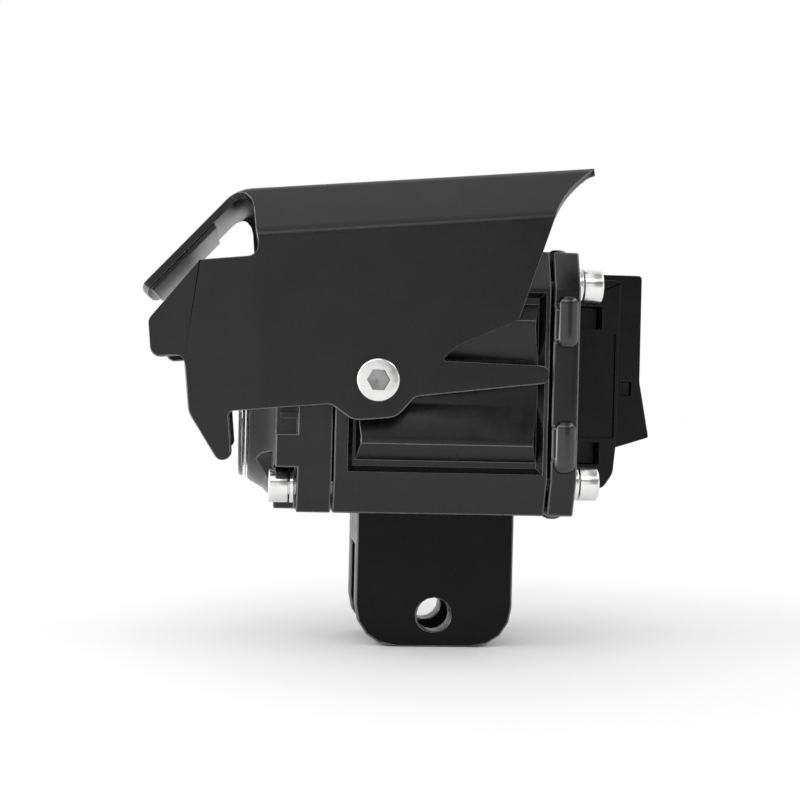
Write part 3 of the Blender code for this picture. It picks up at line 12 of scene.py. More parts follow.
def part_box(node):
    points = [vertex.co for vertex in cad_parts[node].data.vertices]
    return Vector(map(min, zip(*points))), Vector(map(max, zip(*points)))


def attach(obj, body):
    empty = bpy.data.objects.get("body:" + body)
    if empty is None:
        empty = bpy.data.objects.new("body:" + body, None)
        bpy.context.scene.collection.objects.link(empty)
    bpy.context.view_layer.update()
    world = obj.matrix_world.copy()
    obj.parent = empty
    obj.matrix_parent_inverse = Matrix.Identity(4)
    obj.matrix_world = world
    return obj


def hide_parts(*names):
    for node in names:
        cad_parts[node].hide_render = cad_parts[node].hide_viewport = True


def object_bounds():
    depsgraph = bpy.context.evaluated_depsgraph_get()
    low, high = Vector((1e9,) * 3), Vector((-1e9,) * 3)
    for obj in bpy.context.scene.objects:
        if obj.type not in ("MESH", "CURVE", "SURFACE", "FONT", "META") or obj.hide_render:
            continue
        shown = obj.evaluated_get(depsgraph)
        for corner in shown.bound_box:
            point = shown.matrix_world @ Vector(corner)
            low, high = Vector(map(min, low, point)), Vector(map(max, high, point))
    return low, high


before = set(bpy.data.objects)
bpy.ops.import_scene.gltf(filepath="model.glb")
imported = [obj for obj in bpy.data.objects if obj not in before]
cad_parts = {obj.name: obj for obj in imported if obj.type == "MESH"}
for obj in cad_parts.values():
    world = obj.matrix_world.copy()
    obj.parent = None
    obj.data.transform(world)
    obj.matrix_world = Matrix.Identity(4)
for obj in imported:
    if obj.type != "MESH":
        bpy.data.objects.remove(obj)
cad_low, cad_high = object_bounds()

MM = 0.001

# %% [markdown]
# Blender's operators act on whatever is selected, so a few helpers pick one object, pick faces or
# edges by a test, and apply modifiers. They keep the steps below short.
# %% Helpers for picking and finishing
def pick(obj):
    if bpy.context.mode != "OBJECT":
        bpy.ops.object.mode_set(mode="OBJECT")
    bpy.ops.object.select_all(action="DESELECT")
    obj.select_set(True)
    bpy.context.view_layer.objects.active = obj
    return obj


def edit(obj, everything=True):
    pick(obj)
    bpy.ops.object.mode_set(mode="EDIT")
    bpy.ops.mesh.select_mode(type="VERT")
    bpy.ops.mesh.select_all(action="SELECT" if everything else "DESELECT")


def choose(obj, kind, test):
    """Leaves only the faces or edges that pass the test selected, in edit mode."""
    edit(obj, everything=False)
    bpy.ops.mesh.select_mode(type=kind)
    bpy.ops.object.mode_set(mode="OBJECT")
    points = obj.data.vertices
    for face in obj.data.polygons:
        face.select = kind == "FACE" and test(face.center, face.normal)
    for edge in obj.data.edges:
        ends = [points[i].co for i in edge.vertices]
        edge.select = kind == "EDGE" and test(*ends)
    bpy.ops.object.mode_set(mode="EDIT")


def apply_all(obj):
    pick(obj)
    for modifier in list(obj.modifiers):
        bpy.ops.object.modifier_apply(modifier=modifier.name)
    return obj


def settle(obj, name, place=(0, 0, 0), direction=(0, 0, 1)):
    """Turns a piece made along +Z to its direction and moves it, and fixes both in its mesh."""
    pick(obj)
    obj.name = name
    bpy.ops.object.transform_apply(location=True, rotation=True, scale=True)
    turn = Vector((0, 0, 1)).rotation_difference(Vector(direction))
    obj.rotation_euler = turn.to_euler()
    obj.location = place
    bpy.ops.object.transform_apply(location=True, rotation=True, scale=True)
    return obj


def smooth(obj, angle=35):
    pick(obj)
    bpy.ops.object.shade_smooth_by_angle(angle=math.radians(angle))
    return obj


def outward(obj):
    edit(obj)
    bpy.ops.mesh.remove_doubles(threshold=0.005 * MM)
    bpy.ops.mesh.normals_make_consistent(inside=False)
    return pick(obj)


print("helpers ready")

# %% [markdown]
# Every finish is a node tree on object coordinates, in metres, so its grain has a real size.
# These helpers add one node each: a noise of a given size, a colour ramp and a bump of a given
# height.
# %% Helpers for materials
def new_material(name, colour, roughness, metallic=0.0, **more):
    made = bpy.data.materials.new(name)
    made.use_nodes = True
    shader = made.node_tree.nodes["Principled BSDF"]
    shader.inputs["Base Color"].default_value = (*colour, 1)
    shader.inputs["Roughness"].default_value = roughness
    shader.inputs["Metallic"].default_value = metallic
    for socket, value in more.items():
        shader.inputs[socket.replace("_", " ")].default_value = value
    return made


def add(made, kind, **inputs):
    item = made.node_tree.nodes.new("ShaderNode" + kind)
    for socket, value in inputs.items():
        item.inputs[socket.replace("_", " ")].default_value = value
    return item


def join(made, source, target):
    made.node_tree.links.new(source, target)


def coordinates(made, stretch=(1, 1, 1), at=(0, 0, 0)):
    source = add(made, "TexCoord")
    mapping = add(made, "Mapping")
    mapping.inputs["Scale"].default_value = stretch
    mapping.inputs["Location"].default_value = at
    join(made, source.outputs["Object"], mapping.inputs["Vector"])
    return mapping.outputs["Vector"]


def noise(made, size, detail=3.0, stretch=(1, 1, 1), contrast=0.5):
    item = add(made, "TexNoise", Scale=1 / size, Detail=detail, Roughness=contrast)
    join(made, coordinates(made, stretch), item.inputs["Vector"])
    return item.outputs["Fac"]


def ramp(made, source, stops):
    item = add(made, "ValToRGB")
    elements = item.color_ramp.elements
    for i, (where, tone) in enumerate(stops):
        element = elements[i] if i < 2 else elements.new(where)
        element.position = where
        element.color = (*tone, 1) if isinstance(tone, tuple) else (tone, tone, tone, 1)
    join(made, source, item.inputs["Fac"])
    return item.outputs["Color"]


def shader_socket(made, socket):
    return made.node_tree.nodes["Principled BSDF"].inputs[socket]


def bump(made, source, height, below=None):
    item = add(made, "Bump", Strength=1.0, Distance=height)
    join(made, source, item.inputs["Height"])
    if below is not None:
        join(made, below, item.inputs["Normal"])
    join(made, item.outputs["Normal"], shader_socket(made, "Normal"))
    return item.outputs["Normal"]


def mottled(made, dark, light, size, rough, grain, height, stretch=(1, 1, 1)):
    """Colour and roughness that drift in patches, and a fine grain in relief."""
    drift = noise(made, size, 5.0, stretch)
    join(made, ramp(made, drift, [(0.35, dark), (0.65, light)]), shader_socket(made, "Base Color"))
    patches = noise(made, size * 0.37, 4.0, stretch)
    tones = ramp(made, patches, [(0.3, rough[0]), (0.7, rough[1])])
    join(made, tones, shader_socket(made, "Roughness"))
    return bump(made, noise(made, grain, 2.0, stretch), height)


print("material helpers ready")

# %% [markdown]
# The castings wear a satin black powder coat. It flows into a faint orange peel before it sets,
# and it is thin at edges, where it shines more and lets a little grey through. The edge finish is
# also many times lighter than the coat: a painted highlight along every edge. The hood's coat is
# the same paint on sheet steel, laid a little smoother, and smoother still on its downward faces,
# which are painted a little darker: painted shade on the underside. A higher index of refraction
# makes a coat mirror more, which is how the glossy bumps are told apart. The back of the cover
# gets a darker, duller copy of the coat: painted shade from its flange.
# %% Black finishes
def powder_coat(name, peel, peel_height, low, high, tone, mirroring=1.38):
    made = new_material(name, (tone,) * 3, low, IOR=mirroring)
    relief = mottled(
        made, (tone * 0.8,) * 3, (tone * 1.25, tone * 1.25, tone * 1.3), 9 * MM, (low, high),
        0.16 * MM, 0.0012 * MM
    )
    bump(made, noise(made, peel, 1.0), peel_height, relief)
    return made


# An edge finish many times lighter than its coat: a painted highlight along the edge, with lighter
# spots of worn paint.
def edge_wear_and_highlight(name, tone):
    made = new_material(name, (tone,) * 3, 0.3, IOR=1.9)
    spots = noise(made, 1.1 * MM, 6.0, contrast=0.7)
    shades = ramp(made, spots, [(0.5, (tone,) * 3), (0.72, (tone * 2.6,) * 3)])
    join(made, shades, shader_socket(made, "Base Color"))
    join(made, ramp(made, spots, [(0.4, 0.26), (0.7, 0.42)]), shader_socket(made, "Roughness"))
    bump(made, noise(made, 0.35 * MM, 2.0), 0.004 * MM)
    return made


cast_black = powder_coat("cast_black", 0.9 * MM, 0.003 * MM, 0.2, 0.3, 0.0035, 1.46)
foot_black = powder_coat("foot_black", 0.9 * MM, 0.003 * MM, 0.24, 0.34, 0.0025, 1.24)
# The cover behind its flange gets a darker, duller copy of the coat: painted shade from the
# flange.
cover_painted_shade = powder_coat("cover_painted_shade", 0.9 * MM, 0.003 * MM, 0.22, 0.32, 0.003, 1.3)
gloss_black = powder_coat("gloss_black", 0.9 * MM, 0.001 * MM, 0.12, 0.18, 0.0035, 1.7)
# The edge finishes are far lighter than the coats: painted highlights along the edges, with spots
# of wear.
cast_edge = edge_wear_and_highlight("cast_edge", 0.03)
sheet_black = powder_coat("sheet_black", 1.3 * MM, 0.0008 * MM, 0.24, 0.33, 0.0045, 1.42)
# A plain coat a little darker than the hood's: painted shade on the hood's downward faces.
sheet_underside_painted_shade = new_material("sheet_underside_painted_shade", (0.004,) * 3, 0.28, IOR=1.4)
sheet_edge = edge_wear_and_highlight("sheet_edge", 0.04)
print("black finishes:", cast_black.name, sheet_black.name)

# %% [markdown]
# The screws and the ring are polished stainless steel: turning leaves fine rings round the axis,
# handling leaves faint patches. The reflector is brighter, a metal film on moulded plastic.
# %% Bright metals
def polished(name, tone, rough, lines, height, metallic=1.0):
    made = new_material(name, (tone,) * 3, rough[0], metallic)
    mottled(
        made, (tone * 0.9,) * 3, (tone, tone, tone * 0.985), 2.5 * MM, rough, lines, height
    )
    return made


stainless = polished("stainless", 0.86, (0.12, 0.24), 0.09 * MM, 0.0006 * MM)
socket_steel = polished("socket_steel", 0.4, (0.3, 0.45), 0.15 * MM, 0.003 * MM)
bright_film = polished("bright_film", 0.93, (0.03, 0.07), 0.8 * MM, 0.0008 * MM)
can_metal = polished("can_metal", 0.72, (0.25, 0.38), 0.1 * MM, 0.001 * MM)
print("bright metals ready")

# %% [markdown]
# The glass is clear and hard. Dust and wiping leave a faint haze, which only the roughness shows.
# %% Glass
clear_glass = new_material("clear_glass", (0.96, 0.98, 0.98), 0.02, IOR=1.5)
shader_socket(clear_glass, "Transmission Weight").default_value = 1.0
haze = noise(clear_glass, 3 * MM, 6.0, contrast=0.65)
join(clear_glass, ramp(clear_glass, haze, [(0.4, 0.01), (0.75, 0.07)]),
     shader_socket(clear_glass, "Roughness"))
bump(clear_glass, noise(clear_glass, 6 * MM, 1.0), 0.004 * MM)
print("glass ready")

# %% [markdown]
# Rubber, nylon, moulded epoxy, wire covers, boards and ferrite: soft or dull surfaces that differ
# in grain, in how far their colour drifts and in how rough they are.
# %% Dull finishes
def dull(name, dark, light, size, rough, grain, height, **more):
    made = new_material(name, light, rough[0], **more)
    mottled(made, dark, light, size * MM, rough, grain * MM, height * MM)
    return made


rubber = dull("rubber", (0.012,) * 3, (0.024,) * 3, 3, (0.6, 0.8), 0.12, 0.006)
nylon = dull("nylon", (0.66, 0.64, 0.58), (0.78, 0.77, 0.72), 2, (0.4, 0.55), 0.2, 0.004)
epoxy = dull("epoxy", (0.012,) * 3, (0.022,) * 3, 1, (0.5, 0.65), 0.06, 0.003)
pad_grey = dull("pad_grey", (0.33, 0.35, 0.38), (0.42, 0.44, 0.47), 1.5, (0.7, 0.9), 0.1, 0.008)
ferrite = dull("ferrite", (0.05,) * 3, (0.09, 0.09, 0.1), 1, (0.55, 0.75), 0.08, 0.01)
red_cover = dull("red_cover", (0.36, 0.01, 0.01), (0.5, 0.02, 0.02), 2, (0.45, 0.6), 0.2, 0.004)
black_cover = dull("black_cover", (0.012,) * 3, (0.02,) * 3, 2, (0.45, 0.6), 0.2, 0.004)
phosphor = dull("phosphor", (0.78, 0.6, 0.08), (0.9, 0.74, 0.16), 0.5, (0.5, 0.7), 0.05, 0.006)
white_ceramic = dull("white_ceramic", (0.8,) * 3, (0.88, 0.88, 0.86), 1, (0.4, 0.55), 0.05, 0.002)
print("dull finishes ready")

# %% [markdown]
# A circuit board has copper tracks under a coloured mask. A coarse cell pattern gives their
# outlines: its edges stand a few hundredths of a millimetre proud and look lighter.
# %% Circuit boards
def circuit_board(name, mask, track, pitch):
    made = new_material(name, mask, 0.3, Coat_Weight=0.3)
    cells = add(made, "TexBrick", Scale=1 / pitch)
    cells.inputs["Mortar Size"].default_value = 0.06
    cells.inputs["Color1"].default_value = (*mask, 1)
    cells.inputs["Color2"].default_value = (*(c * 0.82 for c in mask), 1)
    cells.inputs["Mortar"].default_value = (*track, 1)
    upright = coordinates(made)
    swap = add(made, "SeparateXYZ")
    back = add(made, "CombineXYZ")
    join(made, upright, swap.inputs["Vector"])
    join(made, swap.outputs["X"], back.inputs["X"])
    join(made, swap.outputs["Z"], back.inputs["Y"])
    join(made, back.outputs["Vector"], cells.inputs["Vector"])
    join(made, cells.outputs["Color"], shader_socket(made, "Base Color"))
    dust = noise(made, 1.2 * MM, 5.0)
    join(made, ramp(made, dust, [(0.3, 0.25), (0.7, 0.42)]), shader_socket(made, "Roughness"))
    bump(made, cells.outputs["Fac"], 0.03 * MM)
    return made


white_mask = circuit_board("white_mask", (0.84, 0.84, 0.81), (0.93, 0.93, 0.9), 4 * MM)
green_mask = circuit_board("green_mask", (0.015, 0.12, 0.045), (0.05, 0.3, 0.12), 2.4 * MM)
print("boards ready")

# %% [markdown]
# The castings and the hood have the right shape in the model, but their edges are razor sharp.
# A real casting has small radii, and they catch the light. So each is copied, its loose triangles
# are merged back into flat faces, and a small bevel rounds every sharp edge. Weighted normals keep
# the big faces flat while the radii look round. The bevel's own faces take the lighter edge
# finish, worn paint and a painted highlight in one. The cover behind its flange and the downward
# faces of the hood then get darker copies of the coat: painted shade.
# %% Rounding the castings and the hood
def room_beside(edge, sharp, width):
    """How far a bevel along this edge may reach before it meets another edge."""
    room = min(width, edge.calc_length() / 2)
    start, along = edge.verts[0].co, (edge.verts[1].co - edge.verts[0].co).normalized()
    for face in edge.link_faces:
        reach = max((v.co - start).cross(along).length for v in face.verts)
        room = min(room, reach * BEVEL_SHARE)
        for loop in face.loops:
            if loop.edge != edge:
                continue
            for other in (loop.link_loop_prev.edge, loop.link_loop_next.edge):
                ends = [v for v in edge.verts if v in other.verts]
                if not ends:
                    continue
                side = other.other_vert(ends[0]).co - ends[0].co
                line = (edge.other_vert(ends[0]).co - ends[0].co).normalized()
                straight = line.dot(side.normalized())
                if straight > -0.94 and not (straight < -0.5 and other in sharp):
                    room = min(room, line.cross(side).length * BEVEL_SHARE)
    return room


def weigh_edges(mesh, width, limit):
    """Gives each sharp edge the share of the bevel's width that fits there."""
    shape = bmesh.new()
    shape.from_mesh(mesh)
    layer = shape.edges.layers.float.new("bevel_weight_edge")
    sharp = {e for e in shape.edges if e.is_manifold and e.calc_face_angle(0) > limit}
    room = {edge: room_beside(edge, sharp, width) for edge in sharp}
    for _ in range(EVENING_PASSES):
        met = {e: [room[o] for v in e.verts for o in v.link_edges if o in room] for e in sharp}
        room = {e: min([room[e]] + [1.6 * r + 0.01 * MM for r in met[e]]) for e in sharp}
    for edge in sharp:
        edge[layer] = room[edge] / width
    shape.to_mesh(mesh)
    shape.free()
    return len(sharp)


BEVEL_SHARE = 0.3
EVENING_PASSES = 12


def rounded_copy(node, name, width, finish, edge, body, limit=28, segments=2):
    copy = bpy.data.objects.new(name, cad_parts[node].data.copy())
    bpy.context.scene.collection.objects.link(copy)
    edit(copy)
    bpy.ops.mesh.remove_doubles(threshold=0.05 * MM)
    bpy.ops.mesh.dissolve_limited(angle_limit=math.radians(1.2))
    bpy.ops.mesh.vert_connect_concave()
    pick(copy)
    copy.data.materials.clear()
    copy.data.materials.append(finish)
    copy.data.materials.append(edge)
    for face in copy.data.polygons:
        face.material_index = 0
    sharp = weigh_edges(copy.data, width, math.radians(limit))
    bevel = copy.modifiers.new("radius", "BEVEL")
    bevel.width = width
    bevel.segments = segments
    bevel.limit_method = "WEIGHT"
    bevel.use_clamp_overlap = False
    bevel.material = 1
    apply_all(copy)
    smooth(copy, 40)
    weighted = copy.modifiers.new("flat faces", "WEIGHTED_NORMAL")
    weighted.keep_sharp = True
    weighted.weight = 80
    apply_all(copy)
    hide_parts(node)
    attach(copy, body)
    print(name, "has", sharp, "sharp edges and", len(copy.data.polygons), "faces")
    return copy


def refinish(piece, finish, test):
    """Gives the faces that pass the test a finish of their own."""
    piece.data.materials.append(finish)
    for face in piece.data.polygons:
        if test(face):
            face.material_index = len(piece.data.materials) - 1


FLANGE_THICKNESS = 5.6 * MM
rounded_copy("mounting_foot", "foot_fork", 0.4 * MM, foot_black, cast_edge, "foot")
rounded_copy("housing", "body_casting", 0.35 * MM, cast_black, cast_edge, "lamp")
rounded_copy("front_bezel", "bezel_casting", 0.3 * MM, cast_black, cast_edge, "lamp")
cover = rounded_copy(
    "rear_cover", "cover_casting", 0.4 * MM, cast_black, cast_edge, "lamp"
)
flange_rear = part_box("rear_cover")[0].y + FLANGE_THICKNESS
# Every face behind the flange, bevels too, takes the darker copy: painted shade from the flange.
refinish(cover, cover_painted_shade, lambda face: face.center.y > flange_rear)
sheet = rounded_copy(
    "hood", "hood_sheet", 0.3 * MM, sheet_black, sheet_edge, "hood_body"
)
# The hood's downward faces take the darker coat: painted shade on its underside.
refinish(sheet, sheet_underside_painted_shade, lambda face: face.material_index == 0 and face.normal.z < -0.2)

rounded_copy("cable_gland", "gland_rubber", 0.2 * MM, rubber, rubber, "lamp")

# %% [markdown]
# Eight bumps stiffen the cover's flange, two on each side. On the real casting they are soft,
# blown-up shapes with rounded ends. Each starts as a cube over the modelled pad, its outer edges
# get a radius nearly half as wide as the bump, and it is smoothed so that light slides over it.
# %% Bumps on the cover's flange
body_low, body_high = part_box("housing")
flange_low, flange_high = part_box("rear_cover")
body_half = (body_high.x - body_low.x) / 2
BUMP_RADIUS = 2.1 * MM
BUMP_ROOT = 6 * MM
flange_front, flange_back = flange_low.y + 0.3 * MM, flange_low.y + 5.3 * MM
bump_low, bump_high = body_half * 0.25, body_half * 0.64
bump_top = flange_high.x + 0.7 * MM
lamp_height = (body_low.z + body_high.z) / 2


def flange_bump(name, quarter, side):
    bpy.ops.mesh.primitive_cube_add(size=1)
    made = bpy.context.object
    made.scale = (BUMP_ROOT, flange_back - flange_front, bump_high - bump_low)
    settle(made, name, (bump_top - BUMP_ROOT / 2, 0, side * (bump_low + bump_high) / 2))
    choose(made, "EDGE", lambda a, b: max(a.x, b.x) > bump_top - 0.1 * MM)
    bpy.ops.mesh.bevel(offset=BUMP_RADIUS, segments=8, profile=0.5)
    pick(made)
    soft = made.modifiers.new("soft", "SUBSURF")
    soft.levels = soft.render_levels = 1
    apply_all(made)
    made.rotation_euler = (0, quarter * math.pi / 2, 0)
    settle(made, name, (0, (flange_front + flange_back) / 2, lamp_height))
    made.data.materials.append(gloss_black)
    smooth(made, 60)
    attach(made, "lamp")


for quarter in range(4):
    for side in (-1, 1):
        flange_bump(f"flange_bump_{quarter}_{'high' if side > 0 else 'low'}", quarter, side)
print("flange bumps: 8")

# %% [markdown]
# A socket cap screw starts as a cylinder. Its rims are bevelled, its underside is inset and
# extruded to make the shank, and a six-sided cutter with a drilled point makes the socket.
# The same steps shape every screw, each with its own size, place and mesh.
# %% Socket cap screws
def cap_screw(name, node, direction, head, shank_radius, hex_half, turn=0.0):
    head_radius, head_height = head
    low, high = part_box(node)
    axis = max(range(3), key=lambda i: abs(direction[i]))
    length = high[axis] - low[axis]
    place = (low + high) / 2
    place[axis] = high[axis] if direction[axis] > 0 else low[axis]
    bpy.ops.mesh.primitive_cylinder_add(
        vertices=64, radius=head_radius, depth=head_height, location=(0, 0, -head_height / 2)
    )
    screw = bpy.context.object
    settle(screw, name)
    choose(screw, "EDGE", lambda a, b: a.z > -0.01 * MM and b.z > -0.01 * MM)
    bpy.ops.mesh.bevel(offset=0.45 * MM, segments=4)
    under = -head_height + 0.01 * MM
    choose(screw, "FACE", lambda centre, normal: normal.z < -0.9)
    bpy.ops.mesh.inset(thickness=head_radius - shank_radius)
    drop = (0, 0, head_height - length)
    bpy.ops.mesh.extrude_region_move(TRANSFORM_OT_translate={"value": drop})
    choose(screw, "EDGE", lambda a, b: max(a.z, b.z) < 0.02 * MM - length)
    bpy.ops.mesh.bevel(offset=0.3 * MM, segments=1)
    choose(
        screw, "EDGE",
        lambda a, b: max(a.z, b.z) < under and min(a.z, b.z) > under - 0.1 * MM
        and a.xy.length > head_radius * 0.98 and b.xy.length > head_radius * 0.98,
    )
    bpy.ops.mesh.bevel(offset=0.15 * MM, segments=2)
    pick(screw)
    depth = head_height * 0.55
    bpy.ops.mesh.primitive_cylinder_add(
        vertices=6, radius=hex_half / math.cos(math.pi / 6), depth=depth + 2 * MM,
        location=(0, 0, 1 * MM - depth / 2), rotation=(0, 0, turn),
    )
    cutter = bpy.context.object
    settle(cutter, "hex_cutter")
    choose(cutter, "FACE", lambda centre, normal: normal.z < -0.9)
    bpy.ops.mesh.inset(thickness=hex_half * 0.18)
    bpy.ops.mesh.extrude_region_move(TRANSFORM_OT_translate={"value": (0, 0, -0.5 * MM)})
    bpy.ops.transform.resize(value=(0.2, 0.2, 1), center_override=(0, 0, -depth))
    pick(cutter)
    cutter.data.materials.append(socket_steel)
    screw.data.materials.append(stainless)
    screw.data.materials.append(socket_steel)
    cut = screw.modifiers.new("socket", "BOOLEAN")
    cut.object = cutter
    cut.solver = "EXACT"
    apply_all(screw)
    rim = hex_half * 1.3
    for face in screw.data.polygons:
        inner = face.center.xy.length < rim and face.center.z < -0.02 * MM
        face.material_index = 1 if inner and face.center.z > -depth - 1 * MM else 0
    bpy.data.objects.remove(cutter)
    outward(screw)
    smooth(screw, 32)
    settle(screw, name, place, direction)
    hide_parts(node)
    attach(screw, "lamp")
    return screw


# Each head's radius and height
M4_HEAD = (3.6 * MM, 4.0 * MM)
M5_HEAD = (4.25 * MM, 3.6 * MM)
M5_LOW_HEAD = (4.25 * MM, 2.6 * MM)
corners = ("left_low", "left_high", "right_low", "right_high")
for i, corner in enumerate(corners):
    front = ("bezel_screw_" + corner, (0, -1, 0))
    back = ("rear_cover_screw_" + corner, (0, 1, 0))
    for node, way in (front, back):
        cap_screw("m4_" + node, node, way, M4_HEAD, 2.0 * MM, 1.5 * MM, 0.4 + 0.7 * i)
for side, way in (("left", 1), ("right", -1)):
    node = "hood_screw_" + side
    cap_screw("m5_" + node, node, (way, 0, 0), M5_HEAD, 2.5 * MM, 2.0 * MM)
cap_screw("m5_foot_bolt", "foot_bolt", (0, 0, -1), M5_LOW_HEAD, 2.5 * MM, 1.5 * MM, 0.3)
print("cap screws:", 2 * len(corners) + 3)

# %% [markdown]
# Under each head sits a washer: a split spring washer on the castings, a plain one on the hood.
# A circle is extruded inwards to a flat ring, a narrow slot is deleted for the split, and
# Solidify and Bevel give it thickness and soft edges.
# %% Washers
def washer(name, node, direction, inner, split):
    low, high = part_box(node)
    axis = max(range(3), key=lambda i: abs(direction[i]))
    size = high - low
    across = max(size[(axis + 1) % 3], size[(axis + 2) % 3]) / 2
    bpy.ops.mesh.primitive_circle_add(vertices=72, radius=across)
    made = bpy.context.object
    edit(made)
    bpy.ops.mesh.extrude_edges_move()
    scale = inner / across
    bpy.ops.transform.resize(value=(scale, scale, 1), center_override=(0, 0, 0))
    pick(made)
    if split:
        choose(made, "FACE", lambda c, normal: c.x > 0 and abs(c.y) < 0.1 * MM)
        bpy.ops.mesh.delete(type="FACE")
        pick(made)
    thick = made.modifiers.new("thickness", "SOLIDIFY")
    thick.thickness = size[axis]
    thick.offset = 0
    soft = made.modifiers.new("soft edges", "BEVEL")
    soft.width = 0.12 * MM
    soft.segments = 2
    soft.limit_method = "ANGLE"
    apply_all(made)
    outward(made)
    made.data.materials.append(stainless)
    smooth(made)
    settle(made, name, (low + high) / 2, direction)
    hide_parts(node)
    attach(made, "lamp")
    return made


for corner in corners:
    washer("spring_bezel_" + corner, "bezel_washer_" + corner, (0, -1, 0), 2.3 * MM, True)
    washer("spring_cover_" + corner, "rear_cover_washer_" + corner, (0, 1, 0), 2.3 * MM, True)
for side, way in (("left", 1), ("right", -1)):
    washer("flat_hood_" + side, "hood_washer_" + side, (way, 0, 0), 2.8 * MM, False)
washer("flat_foot_bolt", "foot_bolt_washer", (0, 0, -1), 2.8 * MM, False)
print("washers ready")

# %% [markdown]
# The glass, the ring behind it and the reflector are turned shapes. Each starts as one point that
# is extruded along its outline, and the outline is spun round the lamp's axis.
# %% Turned pieces of the light
def turned(name, outline, steps, closed, place, direction):
    """Spins an outline of (radius, height) points round Z, then settles it."""
    bpy.ops.mesh.primitive_plane_add(size=1 * MM)
    made = bpy.context.object
    edit(made)
    bpy.ops.mesh.merge(type="CENTER")
    first = Vector((outline[0][0], 0, outline[0][1]))
    bpy.ops.transform.translate(value=first)
    for (r0, h0), (r1, h1) in zip(outline, outline[1:] + ([outline[0]] if closed else [])):
        bpy.ops.mesh.extrude_vertices_move(TRANSFORM_OT_translate={"value": (r1 - r0, 0, h1 - h0)})
    bpy.ops.mesh.select_all(action="SELECT")
    bpy.ops.mesh.spin(steps=steps, angle=2 * math.pi, center=(0, 0, 0), axis=(0, 0, 1))
    outward(made)
    return settle(made, name, place, direction)


def arc(centre, radius, start, end, steps):
    angles = [math.radians(start + (end - start) * i / steps) for i in range(steps + 1)]
    return [(centre[0] + radius * math.cos(a), centre[1] + radius * math.sin(a)) for a in angles]


lens_low, lens_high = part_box("lens")
glass_radius = (lens_high.x - lens_low.x) / 2
glass_depth = lens_high.y - lens_low.y
spigot = glass_radius - 1.9 * MM
edge_thick = glass_depth - 2.6 * MM
edge_round = 1.0 * MM
lamp_axis = (lens_low + lens_high) / 2
outline = [(0, -glass_depth), (spigot - 0.2 * MM, -glass_depth), (spigot, 0.2 * MM - glass_depth)]
outline += [(spigot, -edge_thick), (glass_radius - 0.1 * MM, -edge_thick)]
outline += [(glass_radius, 0.1 * MM - edge_thick)]
outline += arc((glass_radius - edge_round, -edge_round), edge_round, 0, 78, 7)
crown = [(glass_radius * s, -0.16 * MM * s**4) for s in (0.9, 0.75, 0.5, 0.25, 0)]
glass = turned("cover_glass", outline + crown, 96, False, (0, lens_low.y, lamp_axis.z), (0, -1, 0))
glass.data.materials.append(clear_glass)
smooth(glass, 30)
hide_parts("lens")
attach(glass, "lamp")
print("glass", round(glass_radius * 2 / MM, 1), "mm across")

# %% [markdown]
# A thin bright ring holds the glass. Its front edge is rounded, so it shows as a fine line of
# light.
# %% Ring behind the glass
ring_low, ring_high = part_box("lens_ring")
ring_out = (ring_high.x - ring_low.x) / 2
ring_in = glass_radius - 1.3 * MM
ring_thick = ring_high.y - ring_low.y
curl = ring_thick / 2
outline = [(ring_in, -ring_thick), (ring_in, 0)] + arc(
    (ring_out - curl, -curl), curl, 90, -90, 6
)
ring = turned("bright_ring", outline, 96, True, (0, ring_low.y, lamp_axis.z), (0, -1, 0))
ring.data.materials.append(stainless)
smooth(ring, 40)
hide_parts("lens_ring")
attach(ring, "lamp")
print("ring", round(ring_out * 2 / MM, 1), "mm across")

# %% [markdown]
# The reflector is a parabola broken into rings of flat facets, which spread the beam evenly.
# It is spun in 48 steps and shaded flat, so that each facet is a small mirror of its own.
# %% Reflector
cup_low, cup_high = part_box("reflector")
rim_radius = (cup_high.x - cup_low.x) / 2
cup_depth = cup_high.y - cup_low.y
throat = 5.2 * MM
mouth = rim_radius - 4.9 * MM
wall = 1.2 * MM
rows = 9
inside = []
for i in range(rows + 1):
    share = i / rows
    radius = math.sqrt(mouth**2 + (throat**2 - mouth**2) * share)
    inside.append((radius, -wall - (cup_depth - wall) * share))
outside = [(radius + wall, height) for radius, height in reversed(inside)]
outline = [(mouth, 0)] + inside + outside[:-1]
outline += [(mouth + wall, -1.0 * MM), (rim_radius, -1.0 * MM), (rim_radius, 0)]
cup = turned("reflector_cup", outline, 48, True, (0, cup_low.y, lamp_axis.z), (0, -1, 0))
cup.data.materials.append(bright_film)
pick(cup)
bpy.ops.object.shade_flat()
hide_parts("reflector")
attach(cup, "lamp")
print("reflector with", rows * 48, "facets")

# %% [markdown]
# The light source is a white ceramic chip with a square of yellow phosphor under a clear dome.
# A cube is bevelled and its face is inset for the phosphor; half a sphere makes the dome.
# %% Light source
led_low, led_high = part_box("led_emitter")
chip = (led_high.x - led_low.x) / 2
dome_radius = 2.3 * MM
chip_height = 1.0 * MM
bpy.ops.mesh.primitive_cube_add(size=1)
base = bpy.context.object
base.scale = (2 * chip, 2 * chip, chip_height)
settle(base, "led_chip", (0, 0, chip_height / 2))
choose(base, "EDGE", lambda a, b: abs(a.z - b.z) > 0.5 * MM)
bpy.ops.mesh.bevel(offset=0.4 * MM, segments=3)
choose(base, "FACE", lambda centre, normal: normal.z > 0.9)
bpy.ops.mesh.inset(thickness=1.0 * MM)
bpy.ops.mesh.extrude_region_move(TRANSFORM_OT_translate={"value": (0, 0, 0.08 * MM)})
pick(base)
base.data.materials.append(white_ceramic)
base.data.materials.append(phosphor)
for face in base.data.polygons:
    face.material_index = int(face.normal.z > 0.9 and face.center.z > chip_height + 0.05 * MM)
bpy.ops.mesh.primitive_uv_sphere_add(segments=48, ring_count=24, radius=dome_radius)
dome = bpy.context.object
dome.scale = (1, 1, 0.6)
